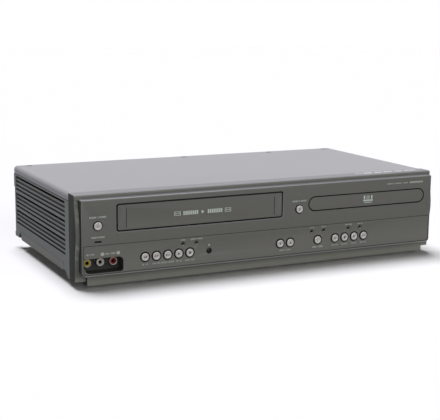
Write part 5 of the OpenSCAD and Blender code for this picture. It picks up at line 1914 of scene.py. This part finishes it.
@dataclass
class Jacks:
    """Plated shells, coloured inserts and the threaded aerial connectors."""

    shell_radius: float = 4.15 * MM
    bore: float = 3.4 * MM
    neck_radius: float = 3.8 * MM
    shoulder_length: float = 1.0 * MM
    shoulder_round: float = 0.1 * MM
    front_neck: float = 1.6 * MM
    front_shoulder: float = 4.3 * MM
    rear_neck: float = 1.0 * MM
    rear_shoulder: float = 5.0 * MM
    hole: float = 1.6 * MM
    insert_fit: float = 0.05 * MM
    insert_depth: float = 0.4 * MM
    sink_depth: float = 0.7 * MM
    sink_width: float = 0.5 * MM
    sink_round: float = 0.15 * MM
    hole_round: float = 0.1 * MM
    rim_round: float = 0.2 * MM
    liner: float = 0.12 * MM
    liner_fit: float = 0.01 * MM
    liner_depth: float = 0.75 * MM
    liner_lift: float = 0.1 * MM
    lip: float = 0.35 * MM
    length: float = 8.0 * MM
    tub_edge: float = 0.2 * MM
    shell_segments: int = 56
    insert_segments: int = 48
    liner_segments: int = 40

    def build(self) -> None:
        """Builds front and rear jacks, then the other parts beside them."""
        front = self.front_places()
        rear = self.rear_places()
        shape = Shape()
        for place in front:
            self.shell(shape, place, Facing.FRONT, self.front_neck, self.front_shoulder)
        bench.make(shape, "front_shells", Finishes.NICKEL, "cabinet", "nickel",
                   ["front_jack_shells"], SMOOTH_JACK)
        shape = Shape()
        for column in rear:
            for place in column:
                self.shell(shape, place, Facing.BACK, self.rear_neck, self.rear_shoulder)
        self.aerials(shape, [place[2] for place in rear[0]])
        bench.make(shape, "rear_shells", Finishes.NICKEL, "cabinet", "nickel",
                   ["rear_connectors"], SMOOTH_JACK)
        colours = (("yellow", Finishes.YELLOW), ("white", Finishes.WHITE), ("red", Finishes.RED))
        for (name, finish), place, column in zip(colours, front, rear):
            shape = Shape()
            self.insert(shape, place, Facing.FRONT, self.front_neck)
            for lower in column:
                self.insert(shape, lower, Facing.BACK, self.rear_neck)
            bench.make(shape, f"inserts_{name}", finish, "cabinet", f"insert_{name}",
                       [f"jack_inserts_{name}"], SMOOTH_JACK)
        # black tubes in the insert holes: painted shade
        self.liners(front, rear)
        bench.soften("jack_recess", "recess_tub", Finishes.RECESS, "cabinet", "black_plastic",
                     self.tub_edge)
        for node in ("front_jack_block", "rear_jack_block"):
            bench.dress(node, Finishes.BLACK)

    def front_places(self) -> list[Triple]:
        """Finds the front jacks.

        Returns:
            Middles of the three mouths, evenly spaced over their shells' box.
        """
        box = Span.of("front_jack_shells")
        radius = box.size[2] / 2
        xs = np.linspace(box.low[0] + radius, box.high[0] - radius, 3)
        return [(float(x), float(box.low[1]), float(box.middle[2])) for x in xs]

    def rear_places(self) -> list[list[Triple]]:
        """Finds the rear jacks.

        Returns:
            Middles of the mouths, a column for each colour, from the inserts' boxes.
        """
        mouth = float(node_points("jack_inserts_red")[:, 1].max()) + self.insert_depth
        columns = []
        for name in ("yellow", "white", "red"):
            points = node_points(f"jack_inserts_{name}")
            back = points[points[:, 1] > 0]
            low, high = back.min(0), back.max(0)
            radius = (high[0] - low[0]) / 2
            x = float(high[0] + low[0]) / 2
            levels = (low[2] + radius, high[2] - radius)
            columns.append([(x, mouth, float(level)) for level in levels])
        return columns

    def shell(
        self, shape: Shape, mouth: Triple, facing: Facing, neck: float, shoulder: float
    ) -> None:
        """Adds one plated shell with a rolled lip.

        Args:
            shape: the shape that it joins.
            mouth: middle of its mouth.
            facing: direction of the mouth.
            neck: length of the part in the wall behind it.
            shoulder: radius of the shoulder that rests on the wall.
        """
        base = -self.length
        top = base + self.shoulder_length
        profile = rounded([
            (self.bore, base - neck),
            (self.bore, 0, self.lip),
            (self.shell_radius, 0, self.lip),
            (self.shell_radius, top, self.shoulder_round),
            (shoulder, top, self.shoulder_round),
            (shoulder, base, self.shoulder_round),
            (self.neck_radius, base),
            (self.neck_radius, base - neck),
        ])
        shape.lathe(profile, mouth, facing, self.shell_segments, close=True)

    def insert(self, shape: Shape, mouth: Triple, facing: Facing, neck: float) -> None:
        """Adds one coloured insert: a sleeve with a countersunk hole.

        Args:
            shape: the shape that it joins.
            mouth: middle of the shell's mouth.
            facing: direction of the mouth.
            neck: length of the part in the wall behind it.
        """
        outer = self.bore - self.insert_fit
        face = -self.insert_depth
        back = -self.length - neck
        profile = rounded([
            (0, -self.length),
            (self.hole, -self.length, self.hole_round),
            (self.hole, face - self.sink_depth, self.hole_round),
            (self.hole + self.sink_width, face, self.sink_round),
            (outer, face, self.rim_round),
            (outer, back),
            (0, back),
        ])
        shape.lathe(profile, mouth, facing, self.insert_segments)

    def liners(self, front: Sequence[Triple], rear: Sequence[Sequence[Triple]]) -> None:
        """Adds black tubes in the holes of the inserts, as painted shade deep in the holes.

        Args:
            front: middles of the front mouths.
            rear: middles of the rear mouths, a column for each colour.
        """
        outer = self.hole - self.liner_fit
        inner = outer - self.liner
        end = -self.liner_depth
        floor = -self.length + self.liner_lift
        profile = np.array([(0, floor + self.liner), (inner, floor + self.liner),
                            (inner, end), (outer, end), (outer, floor), (0, floor)])
        shape = Shape()
        for place in front:
            shape.lathe(profile, place, Facing.FRONT, self.liner_segments)
        for column in rear:
            for place in column:
                shape.lathe(profile, place, Facing.BACK, self.liner_segments)
        bench.make(shape, "jack_shade_liners", Finishes.HOLLOW, "cabinet", "black_plastic")

    def aerials(self, shape: Shape, levels: Sequence[float]) -> None:
        """Adds the threaded aerial connectors.

        Args:
            shape: the shape that they join.
            levels: height of each connector.
        """
        points = node_points("rear_connectors")
        thread = Thread()
        x = points[:, 0].min() + thread.nut_radius
        seat = points[:, 1].min() + thread.nut_length
        for z in levels:
            shape.grid(thread.surface(np.array([x, seat, z])), close_columns=True)


@dataclass(frozen=True)
class Thread:
    """Threaded tube with a round nut at its foot, for an aerial plug."""

    radius: float = 4.25 * MM
    relief: float = 0.25 * MM
    pitch: float = 0.8 * MM
    length: float = 7.0 * MM
    taper: Sequence[float] = (4.3 * MM, 4.1 * MM, 3.9 * MM)
    bore: float = 3.2 * MM
    floor: float = 1.0 * MM
    nut_radius: float = 5.0 * MM
    nut_length: float = 1.0 * MM
    segments: int = 48
    rows: int = 57

    def surface(self, seat: Array) -> Array:
        """The whole connector as one grid, from the nut's foot to the floor of the bore.

        A point's radius is the mean radius plus the relief times a triangle wave of the
        distance along the axis over the pitch less the angle over a full turn, and never
        more than the taper allows over the last rows.

        Args:
            seat: point where the thread leaves the nut.

        Returns:
            Points as rows by columns by three.
        """
        angle = full_turn(self.segments)
        rays, out = Facing.BACK.rays(len(angle))
        along = np.linspace(0, 1, self.rows)[:, None] * self.length
        phase = (along / self.pitch - angle / (2 * math.pi)) % 1
        radius = self.radius + self.relief * (2 * np.abs(2 * phase - 1) - 1)
        count = len(self.taper)
        radius[-count:] = np.minimum(radius[-count:], np.array(self.taper)[:, None])
        thread = seat + radius[..., None] * rays + along[..., None] * out
        nut = ((0.0, -self.nut_length), (self.nut_radius, -self.nut_length), (self.nut_radius, 0.0))
        bore = ((self.bore, self.length), (self.bore, self.floor), (0.0, self.floor))
        foot, well = (np.stack([seat + reach * rays + depth * out for reach, depth in rim])
                      for rim in (nut, bore))
        return np.concatenate([foot, thread, well])


# ---------------------------------------------------------------- inside


@dataclass
class Insides:
    """Boards, tape deck and disc drive, which keep their CAD meshes."""

    def build(self) -> None:
        """Dresses every inner CAD node."""
        for finish, nodes in {
            Finishes.BOARD_GREEN: "front_board main_board",
            Finishes.BOARD_BROWN: "power_board",
            Finishes.COIL: "transformer",
            Finishes.DECK: "deck_chassis cassette_holder pinch_arm clamp_bridge",
            Finishes.NATURAL: "loading_sliders tray_gear",
            Finishes.GREY: "supply_reel takeup_reel drive_frame clamp_puck",
            Finishes.TRAY: "disc_tray",
            Finishes.BLACK: "optical_pickup",
            Finishes.STEEL: "guide_rods",
            Finishes.FOOT: "pinch_roller",
        }.items():
            for node in nodes.split():
                bench.dress(node, finish)
        for node, colour in {
            "lower_drum": (0.60, 0.60, 0.61), "upper_drum": (0.66, 0.66, 0.67),
            "capstan": (0.55, 0.55, 0.55), "turntable": (0.50, 0.50, 0.51),
        }.items():
            self.turned(node, colour)

    def turned(self, node: str, colour: Colour) -> None:
        """Finishes a node as metal turned about the middle of its box.

        Args:
            node: the CAD node.
            colour: colour of the metal.
        """
        centre = tuple(float(v) for v in Span.of(node).middle)
        bench.dress(node, TurnedMetal(f"{node}_metal", colour, roughness=0.28, centre=centre))


# ---------------------------------------------------------------- studio


@dataclass
class Studio:
    """Pale floor, white surroundings, soft lamps and the camera."""

    ambient: float = 0.03
    key_from: Triple = (-0.06, 0.28, 0.96)
    key_level: float = 3.05
    key_spread: float = math.radians(32)
    key_tint: Colour = (0.97, 0.96, 1.0)
    fill_from: Triple = (0.16, -0.97, 0.12)
    fill_level: float = 1.35
    fill_spread: float = math.radians(60)
    fill_tint: Colour = (1.0, 1.0, 0.96)
    floor_bounce: float = 0.56
    floor_glow: float = 0.015
    floor_white: float = 0.98
    floor_size: float = 12.0
    lens: float = 86.9
    film: float = 36.0
    camera_place: Triple = (-0.5432, -1.1049, 0.2805)
    yaw: float = math.radians(26.05)
    pitch: float = math.radians(10.71)
    roll: float = math.radians(0.49)

    def build(self) -> None:
        """Builds the studio."""
        self.surroundings()
        self.floor()
        self.lamp("key_lamp", self.key_from, self.key_level, self.key_spread, self.key_tint)
        self.lamp("front_lamp", self.fill_from, self.fill_level, self.fill_spread, self.fill_tint)
        self.camera()
        bpy.context.scene.view_settings.view_transform = "Standard"

    def seen(self, graph: Graph, *rays: str) -> Value:
        """One for the named kinds of rays, else zero.

        Args:
            graph: the node tree that asks.
            rays: Blender's names of the kinds, such as Camera.

        Returns:
            The largest of the answers.
        """
        answers = [graph.add("ShaderNodeLightPath", output=f"Is {ray} Ray") for ray in rays]
        return reduce(Value.maximum, answers)

    def surroundings(self) -> None:
        """White to look at, and dimmer as a light."""
        world = bpy.data.worlds.new("surroundings")
        bpy.context.scene.world = world
        world.use_nodes = True
        graph = Graph(world.node_tree)
        dim, white = (
            graph.add("ShaderNodeBackground", None, {"Color": WHITE, "Strength": strength})
            for strength in (self.ambient, 1.0))
        seen = self.seen(graph, "Camera", "Glossy", "Transmission")
        both = graph.add("ShaderNodeMixShader", None, {0: seen, 1: dim, 2: white})
        graph.add("ShaderNodeOutputWorld", None, {"Surface": both})

    def floor(self) -> None:
        """White floor that keeps the shadow and sends little light back up."""
        mesh = bpy.data.meshes.new("floor")
        corners = oblong(0, 0, self.floor_size, self.floor_size)
        mesh.from_pydata(np.column_stack([corners, np.zeros(4)]), [], [[0, 1, 2, 3]])
        piece = bpy.data.objects.new("floor", mesh)
        bpy.context.scene.collection.objects.link(piece)
        material = bpy.data.materials.new("studio_floor")
        material.use_nodes = True
        graph = Graph(material.node_tree)
        seen = self.seen(graph, "Camera", "Transmission")
        bounce, matt = (
            graph.add("ShaderNodeBsdfDiffuse", None, {"Color": (level,) * 3})
            for level in (self.floor_bounce, self.floor_white))
        sockets = {"Color": WHITE, "Strength": self.floor_glow}
        glow = graph.add("ShaderNodeEmission", None, sockets)
        lit = graph.add("ShaderNodeAddShader", None, {0: matt, 1: glow})
        both = graph.add("ShaderNodeMixShader", None, {0: seen, 1: bounce, 2: lit})
        graph.add("ShaderNodeOutputMaterial", None, {"Surface": both})
        mesh.materials.append(material)

    def lamp(
        self, name: str, source: Triple, level: float, spread: float, tint: Colour
    ) -> None:
        """Adds a distant lamp.

        Args:
            name: name of the lamp.
            source: direction that its light comes from.
            level: light on a surface that faces it, which shows pi times less.
            spread: width of the lamp in the sky as an angle.
            tint: its colour.
        """
        light = bpy.data.lights.new(name, "SUN")
        light.energy = level
        light.angle = spread
        light.color = tint
        piece = bpy.data.objects.new(name, light)
        bpy.context.scene.collection.objects.link(piece)
        piece.rotation_euler = (-Vector(source)).to_track_quat("-Z", "Y").to_euler()

    def camera(self) -> None:
        """Camera from its place, yaw, pitch and roll."""
        sine, cosine = math.sin(self.yaw), math.cos(self.yaw)
        reach = math.cos(self.pitch)
        ahead = Vector((sine * reach, cosine * reach, -math.sin(self.pitch)))
        level = Vector((cosine, -sine, 0))
        upright = level.cross(ahead)
        right = level * math.cos(self.roll) + upright * math.sin(self.roll)
        up = upright * math.cos(self.roll) - level * math.sin(self.roll)
        data = bpy.data.cameras.new("camera")
        data.lens = self.lens
        data.sensor_width = self.film
        camera = bpy.data.objects.new("camera", data)
        bpy.context.scene.collection.objects.link(camera)
        turn = Matrix((right, up, -ahead)).transposed().to_4x4()
        camera.matrix_world = Matrix.Translation(Vector(self.camera_place)) @ turn
        bpy.context.scene.camera = camera


def main() -> None:
    logging.basicConfig(level=logging.INFO, format="%(name)s: %(message)s")
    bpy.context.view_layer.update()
    Studio().build()
    Cabinet().build()
    fascia = Fascia()
    fascia.build()
    PushButtons().build()
    Windows().build(fascia.lamp_places())
    Jacks().build()
    Insides().build()
    bpy.context.view_layer.update()


if __name__ == "__main__":
    main()
